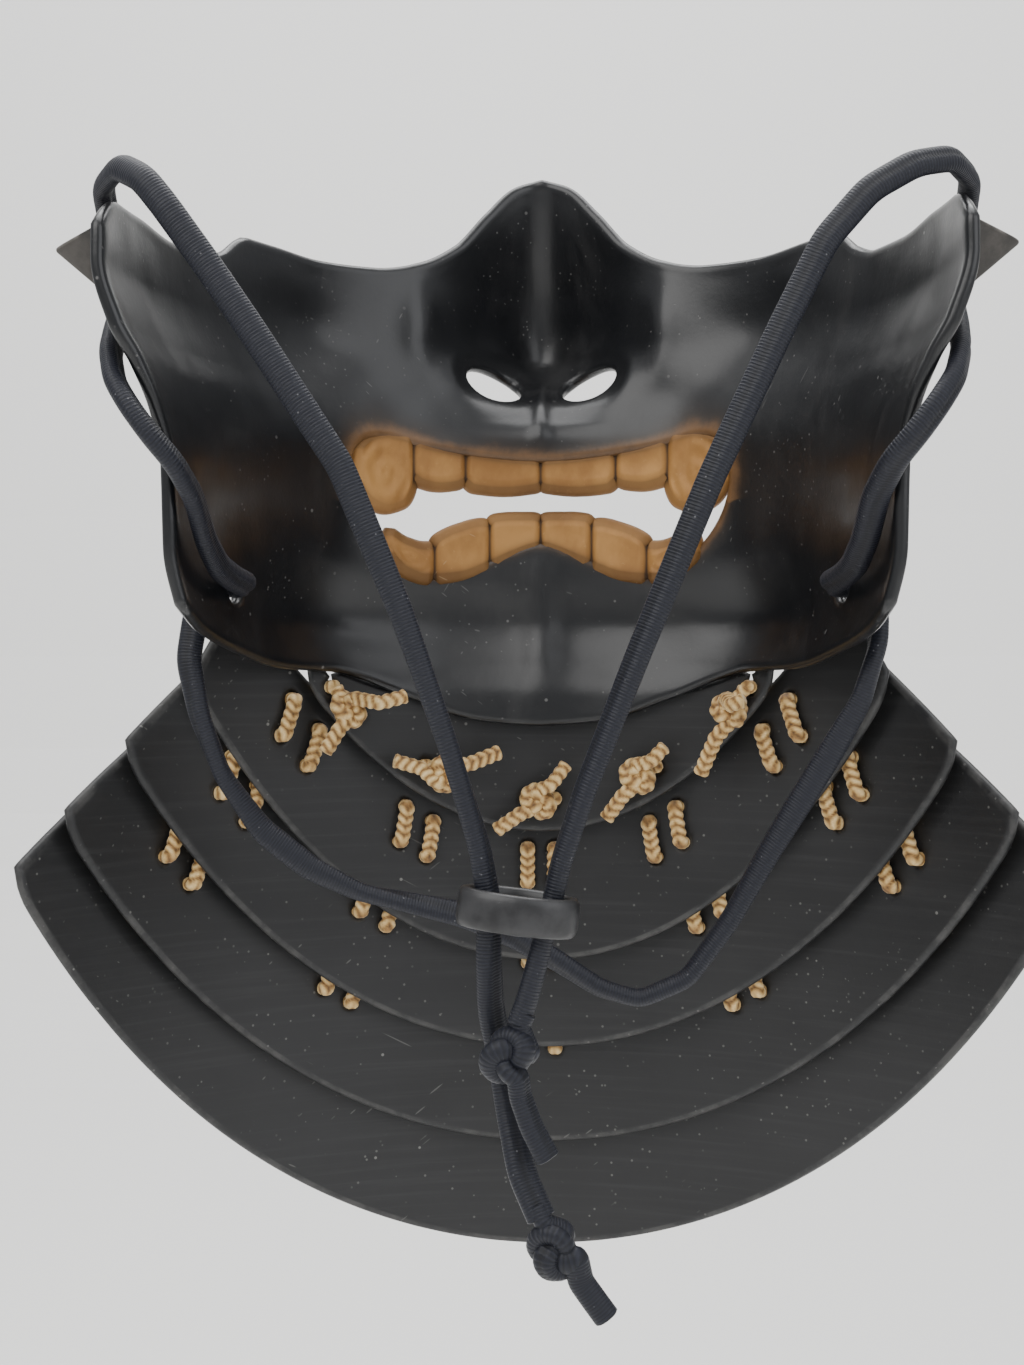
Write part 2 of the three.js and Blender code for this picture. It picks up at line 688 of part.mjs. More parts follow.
const LEFT_STRAND = [
  [-75.2, -91.5, 54.6],
  [-70.6, -93, 48.9],
  [-62.7, -93, 37.9],
  [-53.1, -93, 23.8],
  [-36.7, -93, -1.3],
  [-25.1, -93, -29.1],
  [-15.6, -92, -56],
  [-10.0, -89, -75],
  [-8.2, -88, -86],
  [-8.4, -87, -97],
  [-8.2, -83, -107],
  [-6.3, -80.5, -117],
  [-4.4, -81.5, -128],
  [-2.0, -85.5, -139],
  [2.0, -88, -147.2],
];
const LOOP_ROUTE = [
  [68.6, -40.57, -21.8],
  [72.6, -39.3, -22.3],
  [74.6, -40, -26.5],
  [74.6, -42, -34],
  [70.8, -42, -47],
  [62.1, -40, -62.2],
  [51.4, -38, -80],
  [42.8, -36, -95.7],
  [33.5, -35, -109],
  [22.9, -34, -113.9],
  [14, -34, -111.4],
  [5, -34, -105.6],
  [-5.5, -34, -99.6],
  [-16.3, -34, -95.1],
  [-26.4, -34, -92.9],
  [-39.8, -35, -90],
  [-50.9, -36, -84.5],
  [-61.3, -38, -75.9],
  [-69.9, -40, -63.5],
  [-74.6, -42, -50.2],
  [-77.0, -42, -38],
  [-75.6, -40, -27],
  [-72.6, -39.3, -22.3],
  [-68.6, -40.57, -21.8],
];

const sideRight = vectors(SIDE_ROUTE);
const sideLeft = vectors(SIDE_ROUTE.map(([x, y, z]) => [-x, y, z]));
const cordTube = (points) => tube(points, CORD_RADIUS, CORD_SIDES);
addPiece('tie_cord_right', cordTube([...sideRight, ...vectors(RIGHT_STRAND)]), cordBlack);
addPiece('tie_cord_left', cordTube([...sideLeft, ...vectors(LEFT_STRAND)]), cordBlack);
addPiece('tie_cord_loop', cordTube(vectors(LOOP_ROUTE)), cordBlack);

// an overhand knot as its outer form, with the tail below it
function cordKnot(centre, tail) {
  const knot = new THREE.IcosahedronGeometry(4.6, 1);
  knot.scale(1, 1, 1.15);
  knot.translate(...centre);
  const route = vectors([centre, ...tail]);
  return toGeometry(toSolid(knot).add(toSolid(tube(route, CORD_RADIUS, CORD_SIDES))));
}
const KNOT_RIGHT = [-3.8, -88.4, -115.3];
const TAIL_RIGHT = [[-2.4, -88.6, -122.5], [0.2, -89, -129], [3.4, -89, -135.5]];
const KNOT_LEFT = [4.9, -88, -152.6];
const TAIL_LEFT = [[8.5, -88, -158], [14.6, -88, -166.5]];
addPiece('knot_right', cordKnot(KNOT_RIGHT, TAIL_RIGHT), cordBlack);
addPiece('knot_left', cordKnot(KNOT_LEFT, TAIL_LEFT), cordBlack);

// oval ring that both strands run through
function slideRing() {
  const half = RING.height / 2;
  const inner = RING.halfLength - RING.wall;
  const soft = 0.9;
  const profile = [
    new THREE.Vector2(inner, -half + soft),
    new THREE.Vector2(inner + soft, -half),
    new THREE.Vector2(RING.halfLength - soft, -half),
    new THREE.Vector2(RING.halfLength, -half + soft),
    new THREE.Vector2(RING.halfLength, half - soft),
    new THREE.Vector2(RING.halfLength - soft, half),
    new THREE.Vector2(inner + soft, half),
    new THREE.Vector2(inner, half - soft),
    new THREE.Vector2(inner, -half + soft),
  ];
  const geometry = new THREE.LatheGeometry(profile, 14);
  geometry.rotateX(Math.PI / 2);
  geometry.scale(1, RING.halfDepth / RING.halfLength, 1);
  geometry.rotateY(radians(RING.tilt));
  geometry.translate(RING.x, RING.y, RING.z);
  return toGeometry(toSolid(geometry));
}
addPiece('slide_ring', slideRing(), ringBlack);

export default guard;
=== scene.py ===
"""Looks of the samurai face guard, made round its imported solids.

Metres, in the solids' own frame: the origin is between the rows of teeth, the mask faces +Y,
+Z is up, and the wearer's face comes in from -Y. Tables of sizes are in millimetres.
"""
import math

import bmesh
import bpy
import numpy as np
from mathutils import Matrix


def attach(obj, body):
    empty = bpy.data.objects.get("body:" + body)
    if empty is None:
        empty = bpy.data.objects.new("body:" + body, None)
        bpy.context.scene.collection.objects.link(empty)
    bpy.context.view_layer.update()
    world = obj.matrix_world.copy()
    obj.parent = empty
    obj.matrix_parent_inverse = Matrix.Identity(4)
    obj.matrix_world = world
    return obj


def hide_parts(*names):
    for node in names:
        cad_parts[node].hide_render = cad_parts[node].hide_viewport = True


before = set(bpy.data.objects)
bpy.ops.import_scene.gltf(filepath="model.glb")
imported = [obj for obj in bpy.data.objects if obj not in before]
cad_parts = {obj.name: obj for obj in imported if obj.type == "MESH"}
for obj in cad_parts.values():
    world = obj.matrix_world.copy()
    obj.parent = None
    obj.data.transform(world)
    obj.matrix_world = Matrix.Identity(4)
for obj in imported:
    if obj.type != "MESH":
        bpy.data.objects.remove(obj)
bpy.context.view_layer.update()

MM = 0.001
rng = np.random.default_rng(7)

# ------------------------------------------------------------------ sizes, in millimetres
WALL = 3.0
LAME_THICKNESS = 2.4
LAME_RADIUS = 105.0
LAME_PITCH = 6.0
LAME_AXIS_Y = -100.0
LAME_CORNER = 4.0
LACE_RADIUS = 1.65
LACE_HOLE = 2.25
LACE_SPREAD = 3.4
STITCH_LENGTH = 8.6
STITCH_FAN = 0.75
CORD_RADIUS = 2.5
JAW_HOLE_RADIUS = 3.3
JAW_HOLE = np.array([67.3, -41.0, -21.8])
JAW_AXIS = np.array([24.0, 8.0, 0.0]) / math.hypot(24, 8)

SECTIONS = {
    "z": [-54, -46, -38, -28, -16, 2, 12, 21, 28, 40, 60, 90],
    "half_width": [66, 66, 66, 68.7, 71.2, 71.4, 73, 76.2, 79.8, 82.8, 82.6, 82.6],
    "front": [-2, -1.5, 1.5, 4.5, 3.0, 2.0, 2.0, 4, 6, 8, 10, 10],
    "back": [-80, -80, -80, -81, -82, -83, -86, -89, -91, -92, -92, -92],
    "squareness": [2.8, 2.8, 2.8, 2.7, 2.5, 2.3, 2.2, 2.1, 2.05, 2.05, 2.05, 2.05],
}
NOSE = {
    "z": [20, 25, 30, 35, 41, 55, 70, 90],
    "ridge": [0, 3, 12, 20, 24, 21, 15, 8],
    "half_width": [24, 26, 28, 30, 32, 32, 27, 20],
}
TOP_RIM = {
    "turn": [0, 0.04, 0.09, 0.15, 0.22, 0.31, 0.42, 0.52, 0.58, 0.63, 0.68, 0.76, 0.86, 0.93, 1],
    "z": [84.6, 82.5, 75.5, 66, 60.5, 58, 57.5, 58.5, 58.7, 54, 51.5, 51.5, 53, 53, 46],
}
BOTTOM_RIM = {
    "turn": [0, 0.09, 0.215, 0.35, 0.45, 0.6, 0.8, 0.94, 1],
    "z": [-53.5, -52, -47, -41.9, -39.9, -39.5, -36, -32, -27],
}
# swellings of the wall, the same on both sides: place, spread and height
RELIEF = {
    "x": [52, 30, 52, 44],
    "z": [40, 22, -28, 0],
    "spread_x": [13, 9, 12, 8],
    "spread_z": [12, 9, 10, 12],
    "height": [3.0, 1.5, 2.5, 2.0],
}
MOUTH = {
    "x": [0, 15, 30, 37.5, 42.3, 44.2, 43.6, 40.5, 35, 29, 21, 12.8, 5, 0],
    "z": [10.4, 11.8, 14.4, 16.4, 14.6, 8, 0, -7, -13.6, -16.8, -16.4, -13.1, -9.8, -8.5],
}
LAMES = {
    "bottom": [-79.5, -112, -134.8, -160, -188],
    "rise": [0.0106, 0.0085, 0.0063, 0.0052, 0.0049],
    "half_bottom": [58.8, 89.4, 109, 127.4, 143],
    "top": [-46, -76, -100, -122.5, -144],
    "end_top": [-38.4, -20, -32, -49.3, -59.7],
    "half_top": [53, 79, 87.4, 104.7, 117.4],
    "top_power": [4, 1.8, 3, 3.2, 3.6],
    "hole": [-71.5, -92.7, -113.5, -136, -166.6],
    "hole_rise": [0.01, 0.0088, 0.0066, 0.00543, 0.0052],
    "inner": [25.3, 31.5, 42.5, 52.4, 60],
    "outer": [49, 61.5, 78.5, 94.5, 105],
}


# ------------------------------------------------------------------ camera
def set_camera():
    camera = bpy.data.cameras.new("camera")
    camera.lens = 47.47
    camera.sensor_width = 36
    holder = bpy.data.objects.new("camera", camera)
    bpy.context.scene.collection.objects.link(holder)
    holder.location = (0.00836, -0.43697, -0.043)
    holder.rotation_euler = (math.pi / 2, 0, math.radians(2))
    bpy.context.scene.camera = holder


set_camera()


# ------------------------------------------------------------------ curves and meshes
def table(columns, key, column, at):
    """Monotone cubic through a table: Hermite spans whose end slopes are harmonic means."""
    x = np.asarray(columns[key], float)
    y = np.asarray(columns[column], float)
    at = np.clip(at, x[0], x[-1])
    slope = np.diff(y) / np.diff(x)
    padded = np.concatenate([slope[:1], slope, slope[-1:]])
    product = padded[:-1] * padded[1:]
    tangent = np.where(product > 0, 2 * product / np.where(product > 0, padded[:-1] + padded[1:], 1), 0)
    i = np.clip(np.searchsorted(x, at, side="right") - 1, 0, len(x) - 2)
    span = x[i + 1] - x[i]
    u = (at - x[i]) / span
    return (
        (2 * u**3 - 3 * u**2 + 1) * y[i]
        + (u**3 - 2 * u**2 + u) * span * tangent[i]
        + (3 * u**2 - 2 * u**3) * y[i + 1]
        + (u**3 - u**2) * span * tangent[i + 1]
    )


def unit(v):
    return v / np.maximum(np.linalg.norm(v, axis=-1, keepdims=True), 1e-12)


def smooth_step(low, high, x):
    u = np.clip((x - low) / (high - low), 0, 1)
    return u * u * (3 - 2 * u)


def ripple(p, scale, seed):
    """Smooth random field from -1 to 1: the mean of crossed sines with seeded directions."""
    draw = np.random.default_rng(seed)
    total = np.zeros(p.shape[:-1])
    for k in range(6):
        direction = unit(draw.normal(size=3)) / scale * (1 + 0.35 * k)
        total = total + np.sin(p @ direction * 2 * math.pi + draw.uniform(0, 6.3)) / (1 + 0.25 * k)
    return total / 3


def make_piece(name, points, faces, material, nodes=(), flat=None, marks=None, weld=False):
    """Mesh object from points in millimetres; flat is a UV map, marks are point attributes."""
    mesh = bpy.data.meshes.new(name)
    mesh.from_pydata((points * MM).tolist(), [], faces.tolist())
    if flat is not None:
        layer = mesh.uv_layers.new(name="flat")
        layer.data.foreach_set("uv", flat[faces.ravel()].ravel())
    for mark, values in (marks or {}).items():
        mesh.attributes.new(mark, "FLOAT", "POINT").data.foreach_set("value", np.asarray(values, float))
    if weld:
        work = bmesh.new()
        work.from_mesh(mesh)
        bmesh.ops.remove_doubles(work, verts=work.verts, dist=2e-6)
        bmesh.ops.recalc_face_normals(work, faces=work.faces)
        work.to_mesh(mesh)
        work.free()
    mesh.polygons.foreach_set("use_smooth", np.ones(len(mesh.polygons), bool))
    mesh.materials.append(material)
    piece = bpy.data.objects.new(name, mesh)
    bpy.context.scene.collection.objects.link(piece)
    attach(piece, "root")
    if nodes:
        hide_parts(*nodes)
    return piece


def grid_faces(rows, columns, around=False):
    """Quads of a grid of points, row by row; around joins the last column to the first."""
    index = np.arange(rows * columns).reshape(rows, columns)
    right = np.roll(index, -1, axis=1)
    last = columns if around else columns - 1
    here, there = index[:-1, :last], right[:-1, :last]
    above, beyond = index[1:, :last], right[1:, :last]
    return np.stack([here, there, beyond, above], -1).reshape(-1, 4)


def closed_wall(inner, outer, normal, faces, rim_steps=5):
    """Sheet with two faces and a half-round rim: rim = inner + t/2 (1 - cos) n + t/2 sin * sideways."""
    count = len(inner)
    edges = np.stack([faces, np.roll(faces, -1, axis=1)], -1).reshape(-1, 2)
    ordered = np.sort(edges, axis=1)
    _, where, uses = np.unique(ordered[:, 0] * count + ordered[:, 1], return_index=True, return_counts=True)
    border = edges[where[uses == 1]]
    sideways = np.zeros_like(inner)
    push = np.cross(unit(outer[border[:, 1]] - outer[border[:, 0]]), normal[border[:, 0]])
    np.add.at(sideways, border[:, 0], push)
    np.add.at(sideways, border[:, 1], push)
    ring = np.unique(border)
    rank = np.full(count, -1)
    rank[ring] = np.arange(len(ring))
    side = unit(sideways[ring] - (sideways[ring] * normal[ring]).sum(1)[:, None] * normal[ring])
    low, high = inner[ring], outer[ring]
    half = np.linalg.norm(high - low, axis=1)[:, None] / 2
    angles = math.pi * np.arange(1, rim_steps) / rim_steps
    rims = [(low + high) / 2 - (high - low) / 2 * math.cos(a) + half * math.sin(a) * side for a in angles]
    points = np.concatenate([inner, outer, *rims])
    steps = [ring_index for ring_index in range(1, rim_steps)]

    def at(step, who):
        if step == 0:
            return who
        if step == rim_steps:
            return who + count
        return 2 * count + (step - 1) * len(ring) + rank[who]

    a, b = border[:, 0], border[:, 1]
    strips = [np.stack([at(j + 1, b), at(j + 1, a), at(j, a), at(j, b)], -1) for j in [0, *steps]]
    quads = np.concatenate([faces[:, ::-1], faces + count, *strips])
    origin = np.concatenate([np.arange(count), np.arange(count), *([ring] * len(steps))])
    on_rim = np.concatenate([np.zeros(2 * count), np.ones(len(ring) * len(steps))])
    return points, quads, origin, on_rim


def trimmed_sheet(surface, u, v, hole_distance):
    """Grid of a surface with holes cut: points just inside a hole are moved onto its outline."""
    rows, columns = len(v), len(u)
    uu, vv = (a.ravel() for a in np.meshgrid(u, v))
    faces = grid_faces(rows, columns)
    step_u, step_v = abs(u[1] - u[0]), abs(v[1] - v[0])
    distance = hole_distance(surface(uu, vv))
    size_u = np.linalg.norm(surface(uu + 0.5 * step_u, vv) - surface(uu - 0.5 * step_u, vv), axis=1)
    inside = distance < 0.28 * np.median(size_u)
    faces = faces[~inside[faces].all(axis=1)]
    used = np.unique(faces)
    move = used[inside[used]]
    for _ in range(4):
        if not len(move):
            break
        here = hole_distance(surface(uu[move], vv[move]))
        grow_u = (hole_distance(surface(uu[move] + 0.05 * step_u, vv[move])) - here) / 0.05
        grow_v = (hole_distance(surface(uu[move], vv[move] + 0.05 * step_v)) - here) / 0.05
        share = np.clip(-here / np.maximum(grow_u**2 + grow_v**2, 1e-9), -3, 3)
        uu[move] += np.clip(share * grow_u, -0.9, 0.9) * step_u
        vv[move] += np.clip(share * grow_v, -0.9, 0.9) * step_v
    renumber = np.full(rows * columns, -1)
    renumber[used] = np.arange(len(used))
    return uu[used], vv[used], renumber[faces]


def normals_of(surface, u, v, step_u, step_v):
    """Unit normals, the cross product of the surface's two directions."""
    across = surface(u + step_u, v) - surface(u - step_u, v)
    along = surface(u, v + step_v) - surface(u, v - step_v)
    return unit(np.cross(across, along))


def rounded_outline(x, z, passes=2):
    """Closed outline with its corners cut again and again, a quarter off each side."""
    points = np.stack([x, z], -1).astype(float)
    for _ in range(passes):
        after = np.roll(points, -1, axis=0)
        points = np.stack([0.75 * points + 0.25 * after, 0.25 * points + 0.75 * after], 1).reshape(-1, 2)
    return points


def outline_distance(outline, p):
    """Distance to a closed outline in X and Z, negative inside it."""
    a, b = outline, np.roll(outline, -1, axis=0)
    q = p[:, None, :]
    side = b - a
    share = np.clip(((q - a) * side).sum(-1) / (side**2).sum(-1), 0, 1)
    nearest = np.linalg.norm(q - a - share[..., None] * side, axis=-1).min(1)
    crosses = (a[:, 1] > q[..., 1]) != (b[:, 1] > q[..., 1])
    level = np.where(np.abs(side[:, 1]) > 1e-9, side[:, 1], 1e-9)
    left_of = q[..., 0] < a[:, 0] + (q[..., 1] - a[:, 1]) / level * side[:, 0]
    return np.where((crosses & left_of).sum(1) % 2 == 1, -nearest, nearest)


def resample(path, step):
    """Points at equal steps along a polyline."""
    run = np.concatenate([[0], np.cumsum(np.linalg.norm(np.diff(path, axis=0), axis=1))])
    count = max(3, int(round(run[-1] / step)) + 1)
    at = np.linspace(0, run[-1], count)
    return np.stack([np.interp(at, run, path[:, k]) for k in range(path.shape[1])], -1)


def softened(path, step, reach):
    """Polyline with rounded bends: a running mean over reach, its ends held."""
    fine = resample(path, step)
    width = max(1, int(reach / step / 2)) * 2 + 1
    kernel = np.hanning(width + 2)[1:-1]
    kernel /= kernel.sum()
    pad = width // 2
    ahead = 2 * fine[0] - fine[1:pad + 1][::-1]
    behind = 2 * fine[-1] - fine[-pad - 1:-1][::-1]
    long = np.concatenate([ahead, fine, behind])
    return np.stack([np.convolve(long[:, k], kernel, "valid") for k in range(3)], -1)


def along_path(path):
    """Distance run at each point of a path."""
    return np.concatenate([[0], np.cumsum(np.linalg.norm(np.diff(path, axis=0), axis=1))])


def directions(path):
    return unit(np.gradient(path, axis=0))


def frames_by(path, reference):
    """Two crosswise directions at each point: the reference made square to the path, and the third."""
    tangent = directions(path)
    first = unit(reference - (reference * tangent).sum(1)[:, None] * tangent)
    return first, np.cross(tangent, first)


def carried_frames(path, start):
    """Crosswise directions carried along the path with the least turning."""
    tangent = directions(path)
    first = np.zeros_like(path)
    side = np.asarray(start, float)
    for i, heading in enumerate(tangent):
        side = side - side.dot(heading) * heading
        side = side / np.linalg.norm(side)
        first[i] = side
    return first, np.cross(tangent, first)


def capped(radius, run, end):
    """Radius brought down to nothing over a rounded end of the given length at both ends."""
    from_end = np.minimum(run, run[-1] - run)
    return radius * np.sqrt(np.clip(1 - (1 - np.clip(from_end / end, 0, 1)) ** 2, 1e-8, 1))


def joined(parts):
    """One set of points, faces and flat maps from several."""
    offset = 0
    points, faces, flats, marks = [], [], [], []
    for part_points, part_faces, part_flat, part_mark in parts:
        points.append(part_points)
        faces.append(part_faces + offset)
        flats.append(part_flat)
        marks.append(part_mark)
        offset += len(part_points)
    return np.concatenate(points), np.concatenate(faces), np.concatenate(flats), np.concatenate(marks)


# ------------------------------------------------------------------ materials
class Value:
    """A number, colour or vector in a material; sums on it add the nodes that work them out."""

    def __init__(self, look, socket):
        self.look = look
        self.socket = socket

    def __add__(self, other):
        return self.look.sum("ADD", self, other)

    def __sub__(self, other):
        return self.look.sum("SUBTRACT", self, other)

    def __rsub__(self, other):
        return self.look.sum("SUBTRACT", other, self)

    def __mul__(self, other):
        return self.look.sum("MULTIPLY", self, other)

    def __truediv__(self, other):
        return self.look.sum("DIVIDE", self, other)

    def __pow__(self, other):
        return self.look.sum("POWER", self, other)

    __radd__ = __add__
    __rmul__ = __mul__

    def clamp(self):
        return self.look.sum("MINIMUM", self.look.sum("MAXIMUM", self, 0.0), 1.0)

    def sine(self):
        return self.look.sum("SINE", self, 0.0)

    def size(self):
        return self.look.sum("ABSOLUTE", self, 0.0)

    def step(self, low, high):
        """0 below low, 1 above high and a smooth rise between."""
        return self.look.node(
            "ShaderNodeMapRange", {"interpolation_type": "SMOOTHSTEP"},
            {"Value": self, "From Min": low, "From Max": high, "To Min": 0.0, "To Max": 1.0},
        )


class Look:
    """A material under construction."""

    def __init__(self, name):
        self.material = bpy.data.materials.new(name)
        self.material.use_nodes = True
        self.nodes = self.material.node_tree.nodes
        self.links = self.material.node_tree.links
        self.shader = self.nodes["Principled BSDF"]

    def node(self, kind, settings=None, inputs=None, out=0):
        made = self.nodes.new(kind)
        for key, value in (settings or {}).items():
            if key == "stops":
                ramp = made.color_ramp.elements
                while len(ramp) < len(value):
                    ramp.new(0.5)
                for element, (place, colour) in zip(ramp, value):
                    element.position = place
                    element.color = (*colour, 1)
            else:
                setattr(made, key, value)
        for key, value in (inputs or {}).items():
            self.plug(made.inputs[key], value)
        return Value(self, made.outputs[out])

    def plug(self, socket, value):
        if isinstance(value, Value):
            self.links.new(value.socket, socket)
        elif isinstance(value, tuple) and len(value) == 3 and socket.type == "RGBA":
            socket.default_value = (*value, 1)
        else:
            socket.default_value = value

    def sum(self, operation, a, b):
        return self.node("ShaderNodeMath", {"operation": operation}, {0: a, 1: b})

    def mix(self, share, a, b):
        """Colour a where share is 0 and b where it is 1."""
        made = self.nodes.new("ShaderNodeMix")
        made.data_type = "RGBA"
        self.plug(made.inputs[0], share)
        self.plug(made.inputs[6], a)
        self.plug(made.inputs[7], b)
        return Value(self, made.outputs[2])

    def place(self):
        return self.node("ShaderNodeTexCoord", out="Object")

    def flat(self):
        return self.node("ShaderNodeUVMap", {"uv_map": "flat"})

    def mark(self, name):
        return self.node("ShaderNodeAttribute", {"attribute_name": name}, out="Fac")

    def scaled(self, vector, x, y, z):
        return self.node("ShaderNodeVectorMath", {"operation": "MULTIPLY"}, {0: vector, 1: (x, y, z)})

    def noise(self, vector, scale, detail=3.0, roughness=0.5, distortion=0.0):
        return self.node(
            "ShaderNodeTexNoise", {},
            {"Vector": vector, "Scale": scale, "Detail": detail, "Roughness": roughness, "Distortion": distortion},
        )

    def spots(self, vector, scale, size, jitter=1.0):
        """1 at scattered points, 0 between them: the near part of each cell."""
        near = self.node("ShaderNodeTexVoronoi", {}, {"Vector": vector, "Scale": scale, "Randomness": jitter})
        return 1 - near.step(size * 0.6, size)

    def parts(self, vector):
        made = self.nodes.new("ShaderNodeSeparateXYZ")
        self.plug(made.inputs[0], vector)
        return [Value(self, made.outputs[k]) for k in range(3)]

    def bump(self, height, strength, distance):
        return self.node(
            "ShaderNodeBump", {}, {"Height": height, "Strength": strength, "Distance": distance}, out="Normal",
        )

    def finish(self, **sockets):
        for key, value in sockets.items():
            self.plug(self.shader.inputs[key.replace("_", " ")], value)
        return self.material


def scratches(look, place, turn, scale):
    """Thin straight lines: scattered spots, stretched about thirty times one way."""
    turned = look.node(
        "ShaderNodeMapping", {"vector_type": "TEXTURE"},
        {"Vector": place, "Rotation": (0.3 * turn, turn, 0.5 * turn), "Scale": (1, 1, 30)},
    )
    where = look.noise(place, scale * 0.07, 2.0)
    return look.spots(turned, scale, 0.09) * where.step(0.5, 0.6)


def black_resin():
    """Glossy black moulded resin: dust, scratches, and gold paint misted round the teeth."""
    look = Look("black_resin")
    place = look.place()
    mottle = look.noise(place, 28, 4.0, 0.6)
    fine = look.noise(place, 900, 3.0, 0.6)
    grain = look.noise(place, 240, 4.0, 0.65)
    dust = look.spots(place, 420, 0.13) * look.noise(place, 60, 3.0).step(0.42, 0.62)
    specks = look.spots(place, 150, 0.075) * look.noise(place, 35, 2.0).step(0.4, 0.6)
    marks = scratches(look, place, 0.5, 420) + scratches(look, place, 1.9, 360) + scratches(look, place, 2.7, 500)
    smear = look.noise(look.scaled(place, 1, 1, 0.45), 45, 5.0, 0.7, 0.4).step(0.5, 0.75)
    black = look.mix(mottle.step(0.35, 0.7), (0.0042, 0.0046, 0.0058), (0.0085, 0.0088, 0.0098))
    dusty = look.mix((dust * 0.5 + specks * 0.7 + marks * 0.35 + smear * 0.05).clamp(), black, (0.16, 0.155, 0.15))
    mist = look.mark("mist")
    patchy = (mist + (grain - 0.5) * 0.4 * mist.step(0.02, 0.4)).clamp()
    brown = look.mix(patchy.step(0.4, 1.0), (0.02, 0.011, 0.005), (0.16, 0.078, 0.026))
    colour = look.mix(patchy.step(0.02, 0.7), dusty, brown)
    roughness = 0.30 + mottle * 0.10 + smear * 0.12 + dust * 0.2 + patchy * 0.25 + look.mark("rim") * -0.05
    normal = look.bump(grain * 0.6 + fine * 0.25 + mottle * 1.2 + marks * -0.5, 0.16, 0.0006)
    return look.finish(
        Base_Color=colour, Roughness=roughness.clamp(), Normal=normal, IOR=1.5, Coat_Weight=0.15,
        Coat_Roughness=0.2,
    )


def charcoal_plate():
    """Satin charcoal plate: fine lines along it, dust, and pale edges, a painted edge highlight mixed with wear."""
    look = Look("charcoal_plate")
    place = look.place()
    flat = look.flat()
    lines = look.noise(look.scaled(flat, 18, 620, 1), 1.0, 3.0, 0.6)
    broad = look.noise(look.scaled(flat, 5, 26, 1), 1.0, 3.0, 0.6)
    grain = look.noise(place, 700, 3.0, 0.65)
    mottle = look.noise(place, 24, 4.0, 0.6)
    dust = look.spots(place, 380, 0.14) * look.noise(place, 50, 3.0).step(0.42, 0.6)
    specks = look.spots(place, 130, 0.06) * look.noise(place, 30, 2.0).step(0.42, 0.6)
    marks = scratches(look, place, 0.9, 380) + scratches(look, place, 2.2, 430)
    edge = look.mark("edge")
    # painted highlight along the edges and holes, broken up by noise like wear: pale colour near each edge
    worn = (1 - edge.step(0.05, 0.45)) * look.noise(place, 95, 4.0, 0.7).step(0.4, 0.66)
    black = look.mix((mottle * 0.5 + broad * 0.5).step(0.35, 0.65), (0.0075, 0.0077, 0.0083), (0.0135, 0.0137, 0.0145))
    lined = look.mix(lines.step(0.45, 0.8) * 0.35, black, (0.035, 0.035, 0.036))
    dusty = look.mix((dust * 0.45 + specks * 0.7 + marks * 0.3).clamp(), lined, (0.22, 0.215, 0.2))
    colour = look.mix(worn * 0.4, dusty, (0.10, 0.097, 0.092))
    roughness = 0.40 + mottle * 0.08 + lines * 0.08 + dust * 0.2 + worn * 0.1
    normal = look.bump(lines * 0.5 + grain * 0.35 + mottle * 1.0 + marks * -0.4, 0.2, 0.0004)
    return look.finish(Base_Color=colour, Roughness=roughness.clamp(), Normal=normal, IOR=1.5)


def gilt_paint():
    """Matte gold-bronze paint, with painted shade, a dark brown, in the grooves between teeth, at the gum line and
    along the tips.
    """
    look = Look("gilt_paint")
    place = look.place()
    mottle = look.noise(place, 55, 4.0, 0.6)
    grain = look.noise(place, 800, 4.0, 0.7)
    cloudy = look.noise(look.scaled(place, 1, 1, 0.6), 120, 4.0, 0.65)
    seam = look.mark("seam")
    marks = scratches(look, place, 0.7, 520) + scratches(look, place, 2.1, 460)
    gold = look.mix((mottle * 0.6 + cloudy * 0.4).step(0.35, 0.65), (0.29, 0.135, 0.036), (0.44, 0.225, 0.068))
    speckled = look.mix(grain.step(0.6, 0.75) * 0.3, gold, (0.58, 0.34, 0.13))
    # painted shade: near-black brown in the grooves, at the gum line and along the tips
    brown = look.mix((seam + (cloudy - 0.5) * 0.35 * seam.step(0.02, 0.3)).clamp(), speckled, (0.035, 0.016, 0.006))
    colour = look.mix(marks * 0.3, brown, (0.55, 0.4, 0.24))
    roughness = 0.46 + mottle * 0.1 + seam * 0.15
    normal = look.bump(grain * 0.5 + cloudy * 1.0 + mottle * 0.8, 0.22, 0.0004)
    return look.finish(Base_Color=colour, Roughness=roughness.clamp(), Normal=normal, Metallic=0.25, IOR=1.45)


def gold_braid():
    """Pale gold braid: chevrons of thread, a painted highlight on the crowns and painted shade, dark brown, between
    them.
    """
    look = Look("gold_braid")
    place = look.place()
    crown = look.mark("crown")
    threads = look.noise(look.scaled(look.flat(), 900, 2600, 1), 1.0, 2.0, 0.6)
    shade = look.noise(place, 160, 3.0, 0.6)
    fibre = look.noise(place, 2600, 2.0, 0.7)
    # painted highlight on the crowns and painted shade between them, with random thread tone
    lit = (crown * 0.8 + (threads - 0.5) * 0.5 + (shade - 0.5) * 0.5 + 0.1).clamp()
    colour = look.node(
        "ShaderNodeValToRGB",
        {"stops": [(0.0, (0.085, 0.036, 0.009)), (0.35, (0.31, 0.165, 0.05)), (0.7, (0.60, 0.39, 0.15)),
                   (1.0, (0.82, 0.62, 0.32))]},
        {"Fac": lit},
    )
    normal = look.bump(threads * 0.6 + fibre * 0.5, 0.4, 0.00015)
    return look.finish(
        Base_Color=colour, Roughness=(0.62 - crown * 0.12), Normal=normal, IOR=1.45, Sheen_Weight=0.25,
        Sheen_Roughness=0.4,
    )


